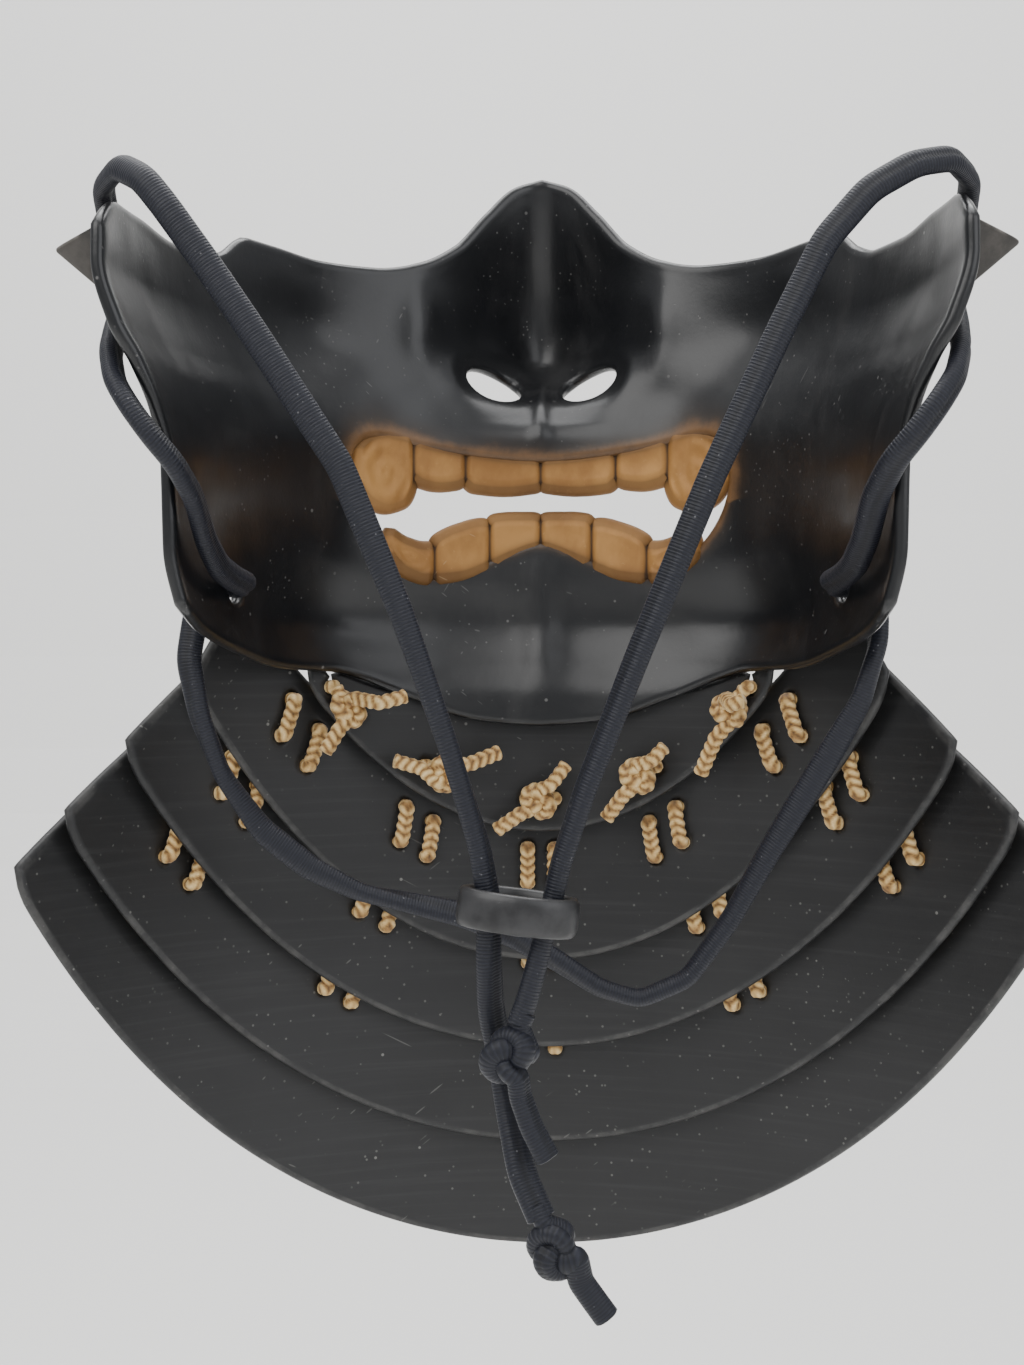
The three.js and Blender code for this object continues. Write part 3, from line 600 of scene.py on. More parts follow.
def ribbed_cord():
    """Navy-black tubular cord: fine ribs across it with a painted highlight on their crests, a soft sheen, and painted
    shade in the crease.
    """
    look = Look("ribbed_cord")
    place = look.place()
    rib = look.mark("rib")
    crease = look.mark("crease")
    fibre = look.noise(place, 1900, 3.0, 0.7)
    shade = look.noise(place, 70, 3.0, 0.6)
    lint = look.spots(place, 520, 0.12) * look.noise(place, 90, 2.0).step(0.5, 0.62)
    # painted highlight on the rib crests, with random fibre and patch tone
    tone = (rib * 0.75 + (fibre - 0.5) * 0.4 + (shade - 0.5) * 0.25).clamp()
    dark = look.mix(tone, (0.003, 0.0036, 0.007), (0.0135, 0.0155, 0.027))
    # painted shade in the crease
    crease_shaded = look.mix(crease * 0.75, dark, (0.002, 0.0022, 0.004))
    colour = look.mix(lint * 0.5, crease_shaded, (0.2, 0.2, 0.21))
    normal = look.bump(fibre * 0.8 + rib * 1.0, 0.35, 0.00025)
    return look.finish(
        Base_Color=colour, Roughness=(0.56 - rib * 0.08), Normal=normal, IOR=1.42, Sheen_Weight=0.03,
        Sheen_Roughness=0.4,
    )


def ring_plastic():
    """Dark grey satin plastic, faintly scuffed."""
    look = Look("ring_plastic")
    place = look.place()
    mottle = look.noise(place, 120, 4.0, 0.6)
    grain = look.noise(place, 1500, 3.0, 0.7)
    scuff = scratches(look, place, 1.2, 700)
    colour = look.mix((mottle.step(0.35, 0.7) * 0.6 + scuff * 0.4).clamp(), (0.012, 0.012, 0.013), (0.05, 0.05, 0.052))
    normal = look.bump(grain * 0.5 + mottle, 0.2, 0.0002)
    return look.finish(Base_Color=colour, Roughness=(0.3 + mottle * 0.15), Normal=normal, IOR=1.5)


def hook_plate():
    """Grey-brown matte folded plate with rubbed edges."""
    look = Look("hook_plate")
    place = look.place()
    mottle = look.noise(place, 150, 4.0, 0.65)
    grain = look.noise(place, 1300, 3.0, 0.7)
    worn = look.mark("rim") * mottle.step(0.4, 0.65)
    tone = look.mix(mottle.step(0.3, 0.7), (0.026, 0.023, 0.02), (0.062, 0.055, 0.048))
    colour = look.mix(worn * 0.6, tone, (0.18, 0.165, 0.15))
    normal = look.bump(grain * 0.6 + mottle, 0.25, 0.0003)
    return look.finish(Base_Color=colour, Roughness=(0.5 + grain * 0.15), Normal=normal, IOR=1.48)


RESIN = black_resin()
PLATE = charcoal_plate()
GILT = gilt_paint()
BRAID = gold_braid()
CORD = ribbed_cord()
RING_LOOK = ring_plastic()
HOOK_LOOK = hook_plate()


# ------------------------------------------------------------------ slide ring
def slide_ring():
    """Rounded band carried round an oval: superellipse section, wider than it is deep."""
    turn = 2 * math.pi * np.arange(120) / 120
    tilt = math.radians(7)
    path = np.stack([
        10.55 * np.cos(turn), 6.85 * np.sin(turn), 0 * turn,
    ], -1)
    outward = unit(np.stack([6.85 * np.cos(turn), 10.55 * np.sin(turn), 0 * turn], -1))
    around = 2 * math.pi * np.arange(28) / 28
    c, s = np.cos(around), np.sin(around)
    across = 1.4 * np.sign(c) * np.abs(c) ** 0.75
    up = 3.85 * np.sign(s) * np.abs(s) ** 0.55
    points = path[:, None, :] + across[None, :, None] * outward[:, None, :] + up[None, :, None] * np.array([0, 0, 1.0])
    points = points.reshape(-1, 3)
    x = points[:, 0] * math.cos(tilt) + points[:, 2] * math.sin(tilt)
    z = -points[:, 0] * math.sin(tilt) + points[:, 2] * math.cos(tilt)
    points = np.stack([x - 2.7, points[:, 1] - 88, z - 87.4], -1)
    index = np.arange(120 * 28).reshape(120, 28)
    over, right = np.roll(index, -1, axis=0), np.roll(index, -1, axis=1)
    faces = np.stack([index, right, np.roll(over, -1, axis=1), over], -1).reshape(-1, 4)
    return make_piece("slide_ring_band", points, faces, RING_LOOK, ("slide_ring",), weld=True)


# ------------------------------------------------------------------ tie cord
SIDE_ROUTE = np.array([
    [68.1, -40.73, -21.8], [65.0, -41.8, -21.9], [63.4, -46, -21.7], [64.8, -55, -20.6],
    [65.9, -64, -18.8], [66.9, -72, -14], [67.6, -80.4, -6], [70.0, -87, 0],
    [74.0, -89.8, 5], [78.0, -90.2, 10.5], [81.7, -87.5, 16], [84.2, -81, 22.5],
    [85.6, -72, 28.5], [86.2, -64, 35], [86.4, -62, 43], [87.8, -67, 51],
    [86.8, -77, 57], [81.3, -85.7, 58.6],
])
RIGHT_STRAND = np.array([
    [73.4, -90, 56.4], [64.5, -92, 51.0], [55.9, -93, 41.1], [47.4, -93, 24.1],
    [34.1, -93, -4.4], [20.8, -92, -36.8], [10.3, -90, -63.7], [5.6, -88.5, -78],
    [2.9, -88, -90], [-0.9, -88, -104.6], [-2.8, -88, -109.6],
])
LEFT_STRAND = np.array([
    [-75.2, -91.5, 54.6], [-70.6, -93, 48.9], [-62.7, -93, 37.9], [-53.1, -93, 23.8],
    [-36.7, -93, -1.3], [-25.1, -93, -29.1], [-15.6, -92, -56], [-10.0, -89, -75],
    [-8.2, -88, -86], [-8.4, -87, -97], [-8.2, -83, -107], [-6.3, -80.5, -117],
    [-4.4, -81.5, -128], [-2.0, -85.5, -139], [2.0, -88, -147.2],
])
LOOP_ROUTE = np.array([
    [68.6, -40.57, -21.8], [72.6, -39.3, -22.3], [74.6, -40, -26.5], [74.6, -42, -34],
    [70.8, -42, -47], [62.1, -40, -62.2], [51.4, -38, -80], [42.8, -36, -95.7],
    [33.5, -35, -109], [22.9, -34, -113.9], [14, -34, -111.4], [5, -34, -105.6],
    [-5.5, -34, -99.6], [-16.3, -34, -95.1], [-26.4, -34, -92.9], [-39.8, -35, -90],
    [-50.9, -36, -84.5], [-61.3, -38, -75.9], [-69.9, -40, -63.5], [-74.6, -42, -50.2],
    [-77.0, -42, -38], [-75.6, -40, -27], [-72.6, -39.3, -22.3], [-68.6, -40.57, -21.8],
])
MIRROR = np.array([-1.0, 1.0, 1.0])
RIB_PITCH = 0.66
CORD_SIDES = 18


def cord_surface(path, twist, wide=2.9, thick=2.1):
    """Tubular cord: an oval profile with a crease, turning along the path, ribs across it.

    radius(t) = oval * (1 - crease * dent(t)) + ribs * sin(2 pi run / pitch).
    """
    run = along_path(path)
    first, second = carried_frames(path, (0.0, 0.0, 1.0))
    turn = 2 * math.pi * np.arange(CORD_SIDES) / CORD_SIDES
    roll = twist(run)[:, None]
    local = turn[None, :] - roll
    oval = 1 / np.sqrt((np.cos(local) / wide) ** 2 + (np.sin(local) / thick) ** 2)
    dent = np.exp(-((np.cos(local) / 0.30) ** 2)) * (np.sin(local) > 0)
    rib = 0.5 + 0.5 * np.cos(2 * math.pi * run / RIB_PITCH)[:, None] * np.ones_like(local)
    radius = oval * (1 - 0.2 * dent) + 0.045 * (rib - 0.5)
    ends = capped(np.ones_like(run), run, 0.5)[:, None]
    radius = radius * ends
    points = path[:, None, :] + radius[..., None] * (
        np.cos(turn)[None, :, None] * first[:, None, :] + np.sin(turn)[None, :, None] * second[:, None, :]
    )
    flat = np.stack(np.broadcast_arrays(turn[None, :] * CORD_RADIUS * MM, run[:, None] * MM), -1).reshape(-1, 2)
    return points.reshape(-1, 3), grid_faces(len(path), CORD_SIDES, around=True), flat, rib.ravel(), dent.ravel()


def cord_piece(name, route, twist, node, with_pieces=()):
    path = softened(route, 0.24, 9.0)
    points, faces, flat, rib, dent = cord_surface(path, twist)
    piece = make_piece(
        name, points, faces, CORD, (node,), flat, {"rib": rib, "crease": dent}, weld=True,
    )
    line = softened(route, 2.0, 9.0)
    return piece


def trefoil(unit_size, turns, squash):
    """Overhand knot: (2 + cos 3t) cos 2t, (2 + cos 3t) sin 2t, sin 3t, left open at one lobe."""
    t = np.linspace(turns[0], turns[1], 260)
    wide = 2 + np.cos(3 * t)
    return unit_size * np.stack([wide * np.cos(2 * t), wide * np.sin(2 * t), squash * np.sin(3 * t)], -1)


def knot_path(centre, axis_x, axis_y, axis_z, size, ends, turns=(0.35, 5.93)):
    """A knot between two runs: comes in along the first run, winds, and leaves by the second."""
    wound = trefoil(size, turns, 1.0)
    placed = centre + wound[:, :1] * axis_x + wound[:, 1:2] * axis_y + wound[:, 2:] * axis_z
    return np.concatenate([ends[0], placed, ends[1]])


def cord_knot(name, node, centre, arrive, tail, axes, size):
    """Overhand knot in the tubular cord with its free tail."""
    route = knot_path(centre, *axes, size, (arrive, tail))
    path = softened(route, 0.24, 3.2)
    run = along_path(path)
    points, faces, flat, rib, dent = cord_surface(path, lambda s: 0.9 + 0.02 * s, 2.6, 2.1)
    return make_piece(name, points, faces, CORD, (node,), flat, {"rib": rib, "crease": dent}, weld=True)


def tie_cord():
    """The three free runs of the cord with the two knots and the slide ring they carry."""
    knot_right = cord_knot(
        "knot_with_right_tail", "knot_right", np.array([-3.8, -88.4, -115.6]),
        np.array([[-1.2, -88, -106.5], [-2.6, -88, -109.5]]),
        np.array([[-2.2, -88.8, -123.0], [0.0, -89, -129.0], [3.3, -89, -135.3]]),
        (np.array([0.85, 0, -0.5]), np.array([0.5, 0, 0.85]), np.array([0, 1.0, 0])), 1.42,
    )
    knot_left = cord_knot(
        "knot_with_left_tail", "knot_left", np.array([5.2, -88, -153.0]),
        np.array([[0.8, -87, -144.5], [2.4, -88, -148.0]]),
        np.array([[9.5, -88, -159.0], [12.0, -88, -162.5], [14.8, -88, -166.3]]),
        (np.array([0.9, 0, 0.4]), np.array([-0.4, 0, 0.9]), np.array([0, 1.0, 0])), 1.42,
    )
    right = np.concatenate([SIDE_ROUTE, RIGHT_STRAND])
    left = np.concatenate([SIDE_ROUTE * MIRROR, LEFT_STRAND])
    cord_piece(
        "tie_cord_right_run", right, lambda s: 0.6 + 0.012 * s + 0.5 * np.sin(s / 60), "tie_cord_right",
        [knot_right, slide_ring()],
    )
    cord_piece(
        "tie_cord_left_run", left, lambda s: 2.2 + 0.01 * s + 0.6 * np.sin(s / 45), "tie_cord_left",
        [knot_left],
    )
    cord_piece(
        "tie_cord_loop_run", LOOP_ROUTE, lambda s: 0.3 + 0.045 * s + 0.8 * np.sin(s / 30), "tie_cord_loop",
    )


tie_cord()


# ------------------------------------------------------------------ face shell
def relief_at(x, z):
    side = np.abs(x)
    total = np.zeros_like(x)
    for row in range(len(RELIEF["x"])):
        total = total + RELIEF["height"][row] * np.exp(
            -(((side - RELIEF["x"][row]) / RELIEF["spread_x"][row]) ** 2)
            - ((z - RELIEF["z"][row]) / RELIEF["spread_z"][row]) ** 2
        )
    return total


def nose_at(x, z):
    half_width = table(NOSE, "z", "half_width", z)
    across = np.minimum(1, np.abs(x) / half_width)
    return table(NOSE, "z", "ridge", z) * (1 - across) ** 2 * (1 + 2 * across)


def shell_point(turn, z):
    """Inner face: level superellipses, swollen by the relief and drawn forward at the nose."""
    angle = np.abs(turn) * math.pi / 2
    power = 2 / table(SECTIONS, "z", "squareness", z)
    back = table(SECTIONS, "z", "back", z)
    front = table(SECTIONS, "z", "front", z)
    x = np.sign(turn) * table(SECTIONS, "z", "half_width", z) * np.abs(np.sin(angle)) ** power
    y = back + (front - back) * np.maximum(0, np.cos(angle)) ** power
    swell = relief_at(x, z)
    return np.stack([
        x + swell * np.sin(angle) * np.sign(turn), y + swell * np.cos(angle) + nose_at(x, z), z,
    ], -1)


RIM = WALL / 2
SHARE_END = 0.9945


def shell_sheet(share, up):
    """The shell over its own grid: share runs side to side, up from the lower rim to the upper."""
    share = np.clip(share, -0.9999, 0.9999)
    turn = 0.5 * share + 0.5 * share**3
    low = table(BOTTOM_RIM, "turn", "z", np.abs(turn)) + RIM
    high = table(TOP_RIM, "turn", "z", np.abs(turn)) - RIM
    return shell_point(turn, low + (high - low) * up)


def mirrored(x, z):
    """A closed outline from its right half, listed from the top middle to the bottom middle."""
    x, z = np.asarray(x, float), np.asarray(z, float)
    return np.concatenate([x, -x[-2:0:-1]]), np.concatenate([z, z[-2:0:-1]])


MOUTH_OUTLINE = rounded_outline(*mirrored(MOUTH["x"], MOUTH["z"]))


def nostril_outline(side):
    """A tilted leaf, flatter above than below."""
    angle = 2 * math.pi * np.arange(28) / 28
    along = 6.6 * np.cos(angle)
    up = 3.3 * np.sin(angle) * np.where(np.sin(angle) > 0, 0.8, 1.2)
    tilt = math.radians(25)
    x = 11.4 + along * math.cos(tilt) - up * math.sin(tilt)
    z = 32.5 + along * math.sin(tilt) + up * math.cos(tilt)
    return np.stack([side * x, z], -1)


def shell_holes(p):
    """Distance from the mouth, the nostrils and the jaw holes, short of the half-round rim."""
    flat = p[:, [0, 2]]
    mouth = outline_distance(MOUTH_OUTLINE, flat)
    right = outline_distance(nostril_outline(1), flat)
    left = outline_distance(nostril_outline(-1), flat)
    folded = np.stack([np.abs(p[:, 0]), p[:, 1], p[:, 2]], -1) - JAW_HOLE
    jaw = np.linalg.norm(folded - (folded @ JAW_AXIS)[:, None] * JAW_AXIS, axis=1) - JAW_HOLE_RADIUS
    jaw = np.where(np.linalg.norm(folded, axis=1) < 25, jaw, 25.0)
    return np.minimum(np.minimum(mouth, jaw), np.minimum(right, left)) - RIM


# what the wearer's side shows besides: place, spread and height towards the wearer
INNER_FORMS = {
    "x": [10, 5, 0, 19, 0, 30, 0],
    "z": [41, 30, 24, 33, -30, 44, 17],
    "spread_x": [5, 3, 2.2, 5, 4.5, 4, 14],
    "spread_z": [5, 4, 9, 6, 14, 10, 3],
    "height": [1.2, 1.0, 1.3, 1.4, 1.4, 1.2, 0.7],
}


def inner_forms(p):
    x, z = np.abs(p[:, 0]), p[:, 2]
    total = np.zeros(len(p))
    for row in range(len(INNER_FORMS["x"])):
        total = total + INNER_FORMS["height"][row] * np.exp(
            -(((x - INNER_FORMS["x"][row]) / INNER_FORMS["spread_x"][row]) ** 2)
            - ((z - INNER_FORMS["z"][row]) / INNER_FORMS["spread_z"][row]) ** 2
        )
    return total


def face_shell():
    share = np.linspace(-SHARE_END, SHARE_END, 271)
    up = np.linspace(0, 1, 141)
    s, v, faces = trimmed_sheet(shell_sheet, share, up, shell_holes)
    inner = shell_sheet(s, v)
    normal = normals_of(shell_sheet, s, v, 0.004, 0.004)
    flip = -1 if normal[:, 1].mean() < 0 else 1
    normal = normal * flip
    if flip < 0:
        faces = faces[:, ::-1]
    outer = inner + normal * WALL
    holes = shell_holes(inner)
    calm = smooth_step(0, 4, holes) * smooth_step(0, 0.03, np.minimum(v, 1 - v))
    pressed = inner_forms(inner) * calm + 0.16 * ripple(inner, 26, 3) * calm
    inner = inner - normal * pressed[:, None]
    points, quads, origin, on_rim = closed_wall(inner, outer, normal, faces, 6)
    mouth = outline_distance(MOUTH_OUTLINE, inner[:, [0, 2]])
    above = inner[:, 2] > 0
    corner = np.exp(-(((np.abs(inner[:, 0]) - 40) / 9) ** 2))
    reach = np.where(above, 8.5 + 4.5 * corner + 1.8 * ripple(inner, 24, 5), 3.6 + 2.5 * corner + 1.0 * ripple(inner, 22, 9))
    fade = np.clip(1 - np.maximum(mouth - 0.5, 0) / np.maximum(reach, 1.5), 0, 1)
    mist = fade**2 * (np.abs(inner[:, 0]) < 56)
    make_piece(
        "mask_wall", points, quads, RESIN, ("face_shell",), None,
        {"mist": mist[origin], "rim": on_rim},
    )


face_shell()


# ------------------------------------------------------------------ teeth
def wall_y(x, z):
    """Inner face of the wall across the mouth, without swellings."""
    power = table(SECTIONS, "z", "squareness", z)
    share = (np.abs(x) / table(SECTIONS, "z", "half_width", z)) ** power
    back, front = table(SECTIONS, "z", "back", z), table(SECTIONS, "z", "front", z)
    return back + (front - back) * (1 - share) ** (1 / power)


# right half of each row, out from the middle: seams, the tips' height and the gums' height
UPPER_ROW = {
    "x": [0, 1.5, 9, 16, 18.2, 20.5, 24.5, 28.5, 30.3, 31, 33, 36.6, 40, 43.6],
    "tip": [5.9, 5.2, 4.4, 5.0, 6.6, 5.7, 5.2, 6.0, 7.2, 4.2, 0.4, -0.9, 0.6, 6.5],
    "gum": [10.2, 10.3, 10.9, 11.8, 12.0, 12.4, 13.1, 13.9, 14.4, 14.7, 15.4, 16.0, 15.2, 11.5],
}
UPPER_SEAMS = np.array([0, 18.2, 30.5, 44.4])
LOWER_ROW = {
    "x": [0, 2, 7, 11, 12.4, 14.5, 19.5, 24.5, 25.6, 28, 32, 36.0],
    "tip": [-3.6, -3.0, -2.9, -3.3, -4.6, -4.4, -5.7, -8.4, -10.2, -10.4, -9.4, -7.0],
    "gum": [-8.6, -9.0, -10.8, -12.6, -13.2, -14.2, -16.0, -16.6, -16.7, -16.6, -15.2, -11.6],
}
LOWER_SEAMS = np.array([0, 12.4, 25.6, 37.0])


def tooth_row(name, node, row, seams, thickness, end):
    """Row of teeth as one wall: each tooth a low pillow, thin grooves between them."""
    towards_tip = 1 if row["tip"][0] < row["gum"][0] else -1

    def sheet(x, up):
        side = np.abs(x)
        tip = table(row, "x", "tip", side)
        gum = table(row, "x", "gum", side)
        z = tip + (gum - tip) * up
        return np.stack([x, wall_y(x, z * 0) + 0.9, z], -1)

    rim = 0.9
    u, v = (a.ravel() for a in np.meshgrid(np.linspace(-end, end, 331), np.linspace(0.04, 1, 46)))
    faces = grid_faces(46, 331)
    mid = sheet(u, v)
    normal = normals_of(sheet, u, v, 0.05, 0.01)
    if normal[:, 1].mean() < 0:
        normal = -normal
        faces = faces[:, ::-1]
    side = np.abs(u)
    cell = np.clip(np.searchsorted(seams, side, side="right") - 1, 0, len(seams) - 2)
    across = (side - seams[cell]) / (seams[cell + 1] - seams[cell])
    wide = seams[cell + 1] - seams[cell]
    to_seam = np.minimum(across, 1 - across) * wide
    to_tip = v * np.abs(table(row, "x", "tip", side) - table(row, "x", "gum", side))
    to_gum = (1 - v) * np.abs(table(row, "x", "tip", side) - table(row, "x", "gum", side))
    pillow = smooth_step(0, 1.6, to_seam) * smooth_step(-0.6, 2.2, to_tip)
    dish = np.exp(-(((across - 0.5) * 2.1) ** 2) - ((v - 0.55) * 2.4) ** 2)
    rings = 0.10 * np.sin(np.hypot((across - 0.5) * 1.1, (v - 0.5) * 0.9) * 24) * (side > seams[-2])
    height = 0.55 * pillow - 0.3 * dish + rings * pillow + 0.06 * ripple(mid, 6, 11)
    groove = np.exp(-((to_seam / 0.42) ** 2))
    inner = mid - normal * (height - 0.28 * groove)[:, None]
    outer = mid + normal * (thickness + 0.9 * pillow - 1.0 * groove)[:, None]
    points, quads, origin, on_rim = closed_wall(inner, outer, normal, faces, 5)
    # mask for the gilt's painted shade: grooves between teeth, the tips and the gum line
    seam = np.clip(
        0.95 * np.exp(-((to_seam / 0.34) ** 2)) + 0.75 * np.exp(-to_tip / 0.55) + 0.55 * np.exp(-to_gum / 0.9), 0, 1,
    )
    make_piece(name, points, quads, GILT, (node,), None, {"seam": seam[origin], "rim": on_rim})


tooth_row("upper_tooth_row", "upper_teeth", UPPER_ROW, UPPER_SEAMS, 4.2, 42.2)
tooth_row("lower_tooth_row", "lower_teeth", LOWER_ROW, LOWER_SEAMS, 4.2, 35.6)


# ------------------------------------------------------------------ cord hooks
def cord_hook(side):
    """Folded plate: rays from the fold's foot to a bent top edge, tip outwards."""
    foot = np.array([84.6, -77.0, 34.8])
    tip = np.array([95.7, -77.0, 44.2])

    def top_edge(p):
        bend = np.sqrt(p**2 + 0.012) - math.sqrt(0.012)
        bend = bend / (math.sqrt(1.012) - math.sqrt(0.012))
        return np.stack([
            tip[0] + (85.2 - tip[0]) * bend, tip[1] + 8.6 * p, tip[2] + (46.8 - tip[2]) * bend,
        ], -1)

    def sheet(p, q):
        return foot + (top_edge(p) - foot) * q[..., None]

    u, v = (a.ravel() for a in np.meshgrid(np.linspace(-1, 1, 61), np.linspace(0.08, 1, 31)))
    faces = grid_faces(31, 61)
    inner = sheet(u, v)
    normal = normals_of(sheet, u, v, 0.02, 0.02)
    if normal[:, 0].mean() < 0:
        normal = -normal
        faces = faces[:, ::-1]
    outer = inner + normal * 0.6
    inner = inner - normal * 0.6
    points, quads, origin, on_rim = closed_wall(inner, outer, normal, faces, 5)
    if side < 0:
        points = points * MIRROR
        quads = quads[:, ::-1]
    name = "right" if side > 0 else "left"
    make_piece(f"ear_hook_{name}", points, quads, HOOK_LOOK, (f"hook_{name}",), None, {"rim": on_rim})


cord_hook(1)
cord_hook(-1)


# ------------------------------------------------------------------ throat lames
def on_lame(k, s, z, h):
    """A place on a lame: s along it, z up it, h outwards from the middle of its wall."""
    radius = LAME_RADIUS + LAME_PITCH * k
    angle = s / radius
    return np.stack([(radius + h) * np.sin(angle), LAME_AXIS_Y + (radius + h) * np.cos(angle), z + 0 * s], -1)


def lame(k, column):
    return LAMES[column][k]


def lower_edge(k, s):
    return lame(k, "bottom") + lame(k, "rise") * s * s


def upper_edge(k, s):
    rise = lame(k, "end_top") - lame(k, "top")
    return lame(k, "top") + rise * (np.abs(s) / lame(k, "half_top")) ** lame(k, "top_power")


def stitch(k, place, strand):
    """Upper and lower hole of a stitch, as places along and up the lame."""
    middle = np.sign(place) * (lame(k, "outer") if abs(place) == 2 else lame(k, "inner"))
    s = middle + strand * LACE_SPREAD
    lean = STITCH_FAN * place
    z = lame(k, "hole") + lame(k, "hole_rise") * s * s
    if k == 0:
        return [(s, z)]
    return [(s - lean, z + STITCH_LENGTH), (s + lean, z)]


PLACES = [-2, -1, 0, 1, 2]
LAST = 4


def lame_holes(k):
    """Every hole of a lame, as places along and up it."""
    ends = [stitch(k, place, strand)[:1 if k == LAST else 2] for place in PLACES for strand in (-1, 1)]
    return np.array([end for pair in ends for end in pair])


def throat_lame(k):
    """Rolled plate between its two edges, its corners rounded, half-round all round."""
    rim = LAME_THICKNESS / 2
    radius = LAME_RADIUS + LAME_PITCH * k
    half_bottom, half_top = lame(k, "half_bottom") - rim, lame(k, "half_top") - rim

    def pattern(share, up):
        from_end = np.clip((1 - np.abs(share)) * half_bottom / LAME_CORNER, 0, 1)
        cut = LAME_CORNER * (1 - np.sqrt(np.clip(1 - (1 - from_end) ** 2, 0, 1)))
        s_low, s_high = share * half_bottom, share * half_top
        low, high = lower_edge(k, s_low) + rim + cut, upper_edge(k, s_high) - rim - 0.6 * cut
        return s_low + (s_high - s_low) * up, low + (high - low) * up

    holes = lame_holes(k)

    def sheet(share, up):
        s, z = pattern(np.clip(share, -1, 1), up)
        return np.stack([s, z, 0 * z], -1)

    def hole_distance(p):
        nearest = np.full(len(p), 1e3)
        for s, z in holes:
            nearest = np.minimum(nearest, np.hypot(p[:, 0] - s, (p[:, 1] - z) / 1.12))
        return nearest - LACE_HOLE - 0.25

    columns = int(2 * half_bottom / 0.95)
    rows = int((lame(k, "top") - lame(k, "bottom")) / 0.95)
    share = np.linspace(-1, 1, columns)
    u, v, faces = trimmed_sheet(sheet, share, np.linspace(0, 1, rows), hole_distance)
    s, z = pattern(u, v)
    angle = s / radius
    normal = np.stack([np.sin(angle), np.cos(angle), 0 * s], -1)
    middle = on_lame(k, s, z, 0)
    burr = 0.05 * ripple(middle, 3.0, 30 + k)
    inner = middle - normal * rim
    outer = middle + normal * rim
    a, b, c = (middle[faces[:, i]] for i in range(3))
    if (np.cross(b - a, c - b) * normal[faces[:, 0]]).sum() < 0:
        faces = faces[:, ::-1]
    points, quads, origin, on_rim = closed_wall(inner, outer, normal, faces, 4)
    points = points + (burr[origin] * on_rim)[:, None] * normal[origin]
    from_side = (1 - np.abs(u)) * half_bottom
    edge = np.minimum(np.minimum(from_side, z - lower_edge(k, s) - rim), np.maximum(hole_distance(sheet(u, v)), 0) + 0.3)
    edge = np.where(on_rim > 0, 0, edge[origin])
    flat = np.stack([s, z], -1)[origin] * MM
    make_piece(f"throat_lame_{k + 1}", points, quads, PLATE, (f"lame_{k + 1}",), flat, {"edge": edge})


for number in range(5):
    throat_lame(number)


# ------------------------------------------------------------------ lacing
TAILS = {
    -2: ((11, 3, 9), (-7, -10.5, 2)),
    -1: ((-12, 3.5, 2), (14, 5.5, 4)),
    0: ((6.5, 9, 3), (-11, -7.5, 2)),
    1: ((7, 7, 3), (-8, -11, 2)),
    2: ((6.5, 2, 8), (-7, -16, 2)),
}
LACE_OFF = LAME_THICKNESS / 2 + 1.5 + 0.6
KNOT_OFF = -(LAME_THICKNESS / 2 + 3.6)
BRAID_PITCH = 2.1
LACE_SIDES = 14


def crossing(k, foot, top):
    """Share of the way from foot to top at which a strand meets the lame's upper edge."""
    share = np.linspace(0, 1, 400)
    s = foot[0] + (top[0] - foot[0]) * share
    z = foot[1] + (top[1] - foot[1]) * share
    return share[np.argmax(z <= upper_edge(k, s))]


def strand_route(place, strand):
    """One strand from its hole in the first lame down to the last."""
    start = stitch(0, place, strand)[0]
    route = [on_lame(0, *start, -LACE_OFF), on_lame(0, *start, LACE_OFF)]
    foot = start
    for k in range(1, LAST + 1):
        ends = stitch(k, place, strand)
        top, bottom = ends[0], ends[1]
        length = math.hypot(top[0] - foot[0], top[1] - foot[1])
        share = crossing(k, foot, top)
        s = foot[0] + (top[0] - foot[0]) * share
        steep = math.hypot(1, (upper_edge(k, s + 1) - upper_edge(k, s - 1)) / 2)
        over = max(0.0, share - 1.6 * steep / length)
        clear = max(0.0, over - 4.6 / length)

        def between(u):
            return foot[0] + (top[0] - foot[0]) * u, foot[1] + (top[1] - foot[1]) * u

        if clear * length > 2:
            route.append(on_lame(k - 1, *between(clear), LACE_OFF))
        route.append(on_lame(k, *between(over), LACE_OFF))
        route += [on_lame(k, *top, LACE_OFF), on_lame(k, *top, -LACE_OFF)]
        if k < LAST:
            route += [on_lame(k, *bottom, -LACE_OFF), on_lame(k, *bottom, LACE_OFF)]
        foot = bottom
    return [np.asarray(point, float) for point in route]


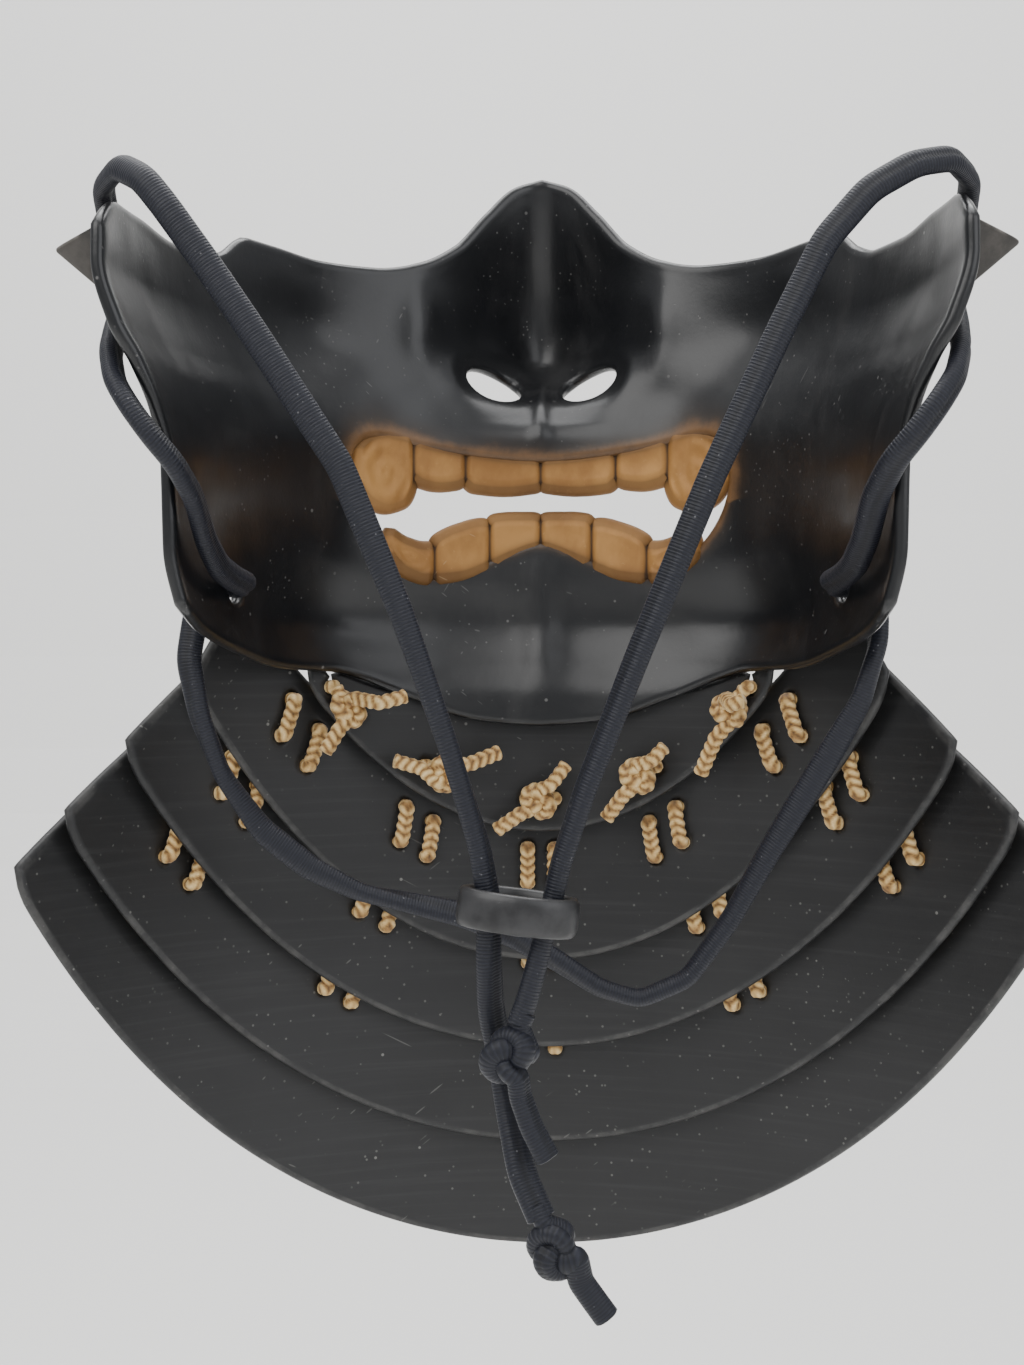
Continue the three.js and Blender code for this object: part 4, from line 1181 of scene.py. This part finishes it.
def braid_surface(path, reference, end=0.7):
    """Braided strand: crown(t, run) = |sin(pi (run / pitch + |t| / pi))|, chevrons on both faces."""
    run = along_path(path)
    first, second = frames_by(path, reference) if reference is not None else carried_frames(path, (0.1, 0.9, 0.4))
    turn = 2 * math.pi * np.arange(LACE_SIDES) / LACE_SIDES
    off_front = np.abs((turn[None, :] + math.pi / 2) % math.pi - math.pi / 2)
    phase = run[:, None] / BRAID_PITCH + off_front / math.pi * 1.3
    crown = np.abs(np.sin(math.pi * phase))
    spine = np.exp(-((off_front / 0.30) ** 2)) * 0.35
    radius = LACE_RADIUS * (0.87 + 0.20 * crown - 0.16 * spine)
    radius = radius * capped(np.ones_like(run), run, end)[:, None]
    ring = np.cos(turn)[None, :, None] * second[:, None, :] + 1.08 * np.sin(turn)[None, :, None] * first[:, None, :]
    points = path[:, None, :] + radius[..., None] * ring
    flat = np.stack(np.broadcast_arrays(turn[None, :] * LACE_RADIUS * MM, run[:, None] * MM), -1).reshape(-1, 2)
    # mask for the braid's painted highlight on the crowns and painted shade between them
    shade = np.clip(crown - spine, 0, 1)
    return points.reshape(-1, 3), grid_faces(len(path), LACE_SIDES, around=True), flat, shade.ravel()


def radial(path):
    """Level direction square to the lames' radius, at each point."""
    away = path - np.array([0, LAME_AXIS_Y, 0])
    return unit(np.stack([away[:, 1], -away[:, 0], 0 * away[:, 0]], -1))


def lace_piece(number, place):
    """One doubled lace: two strands through all the lames, a knot and two tails at the top."""
    left = strand_route(place, -1)
    right = strand_route(place, 1)
    start = stitch(0, place, 0)[0]
    knot_z = start[1] - (1.6 if abs(place) == 2 else 0)
    centre = on_lame(0, np.array(start[0]), np.array(knot_z), KNOT_OFF)
    whole = np.array([*left, *right[::-1]])
    strands = softened(whole, 0.34, 2.6)
    parts = [braid_surface(strands, radial(strands))]
    angle = start[0] / LAME_RADIUS
    outward = np.array([math.sin(angle), math.cos(angle), 0])
    sideways = np.array([math.cos(angle), -math.sin(angle), 0])
    upward = np.array([0, 0, 1.0])

    def tail_point(tail, share, lift):
        return (
            centre + sideways * tail[0] * share + upward * tail[1] * share - outward * tail[2] * lift
        )

    tails = TAILS[place]
    lean = math.atan2(tails[0][1] - tails[1][1], tails[0][0] - tails[1][0])
    axis_x = sideways * math.cos(lean) + upward * math.sin(lean)
    axis_y = -sideways * math.sin(lean) + upward * math.cos(lean)
    first = np.array([tail_point(tails[0], share, lift) for share, lift in ((1, 1), (0.7, 0.95), (0.42, 0.8))])
    second = np.array([tail_point(tails[1], share, lift) for share, lift in ((0.42, 0.8), (0.7, 0.95), (1, 1))])
    knot = knot_path(centre, axis_x, axis_y, -outward, 1.12, (first, second), (0.45, 5.83))
    parts.append(braid_surface(softened(knot, 0.30, 2.2), None, 0.5))
    foot_left = np.array([left[0], centre + (left[0] - centre) * 0.35])
    foot_right = np.array([right[0], centre + (right[0] - centre) * 0.35])
    parts.append(braid_surface(softened(np.array([left[0], *foot_left[1:], *foot_right[:0:-1], right[0]]), 0.3, 1.0), None))
    points, faces, flat, crown = joined(parts)
    make_piece(
        f"gold_lace_{number}", points, faces, BRAID, (f"lace_{number}",), flat, {"crown": crown}, weld=True,
    )


for i, place_number in enumerate(PLACES):
    lace_piece(i + 1, place_number)


# ------------------------------------------------------------------ floor and light
def stage():
    """Pale floor that runs up into a pale wall."""
    pale = Look("pale_floor")
    wall = pale.finish(Base_Color=(0.86, 0.855, 0.84), Roughness=0.9)
    profile = np.array([[-1.6, -0.42], [1.0, -0.42], [1.25, -0.36], [1.4, -0.2], [1.45, 0.1], [1.45, 1.9]])
    rows = np.stack([
        np.stack([np.full(6, x), profile[:, 0], profile[:, 1]], -1) for x in (-2.4, 2.4)
    ]).reshape(-1, 3)
    mesh = bpy.data.meshes.new("floor")
    mesh.from_pydata(rows.tolist(), [], grid_faces(2, 6).tolist())
    mesh.materials.append(wall)
    floor = bpy.data.objects.new("floor", mesh)
    bend = floor.modifiers.new("soft", "SUBSURF")
    bend.levels = bend.render_levels = 2
    bpy.context.scene.collection.objects.link(floor)


def area_light(name, place, aim, size, power, colour=(1, 1, 1)):
    data = bpy.data.lights.new(name, "AREA")
    data.shape = "RECTANGLE"
    data.size, data.size_y = size
    data.energy = power
    data.color = colour
    lamp = bpy.data.objects.new(name, data)
    bpy.context.scene.collection.objects.link(lamp)
    lamp.location = place
    away = np.asarray(place, float) - np.asarray(aim, float)
    flat = math.hypot(away[0], away[1])
    lamp.rotation_euler = (math.atan2(flat, away[2]), 0, math.atan2(away[0], -away[1]))


stage()
area_light("window", (-0.7, -1.0, 0.9), (0, 0, 0), (1.5, 1.2), 18, (1.0, 0.99, 0.97))
area_light("fill", (0.95, -0.9, 0.5), (0, 0, -0.03), (1.2, 1.2), 8, (0.97, 0.98, 1.0))
area_light("above", (0.0, 0.1, 1.2), (0, 0, 0), (1.2, 1.0), 14)
area_light("wall_wash", (0.0, 0.6, 1.5), (0, 1.45, 0.0), (2.0, 0.8), 22)
world = bpy.data.worlds.new("world")
world.use_nodes = True
world.node_tree.nodes["Background"].inputs["Color"].default_value = (0.9, 0.92, 0.95, 1)
world.node_tree.nodes["Background"].inputs["Strength"].default_value = 0.55
bpy.context.scene.world = world
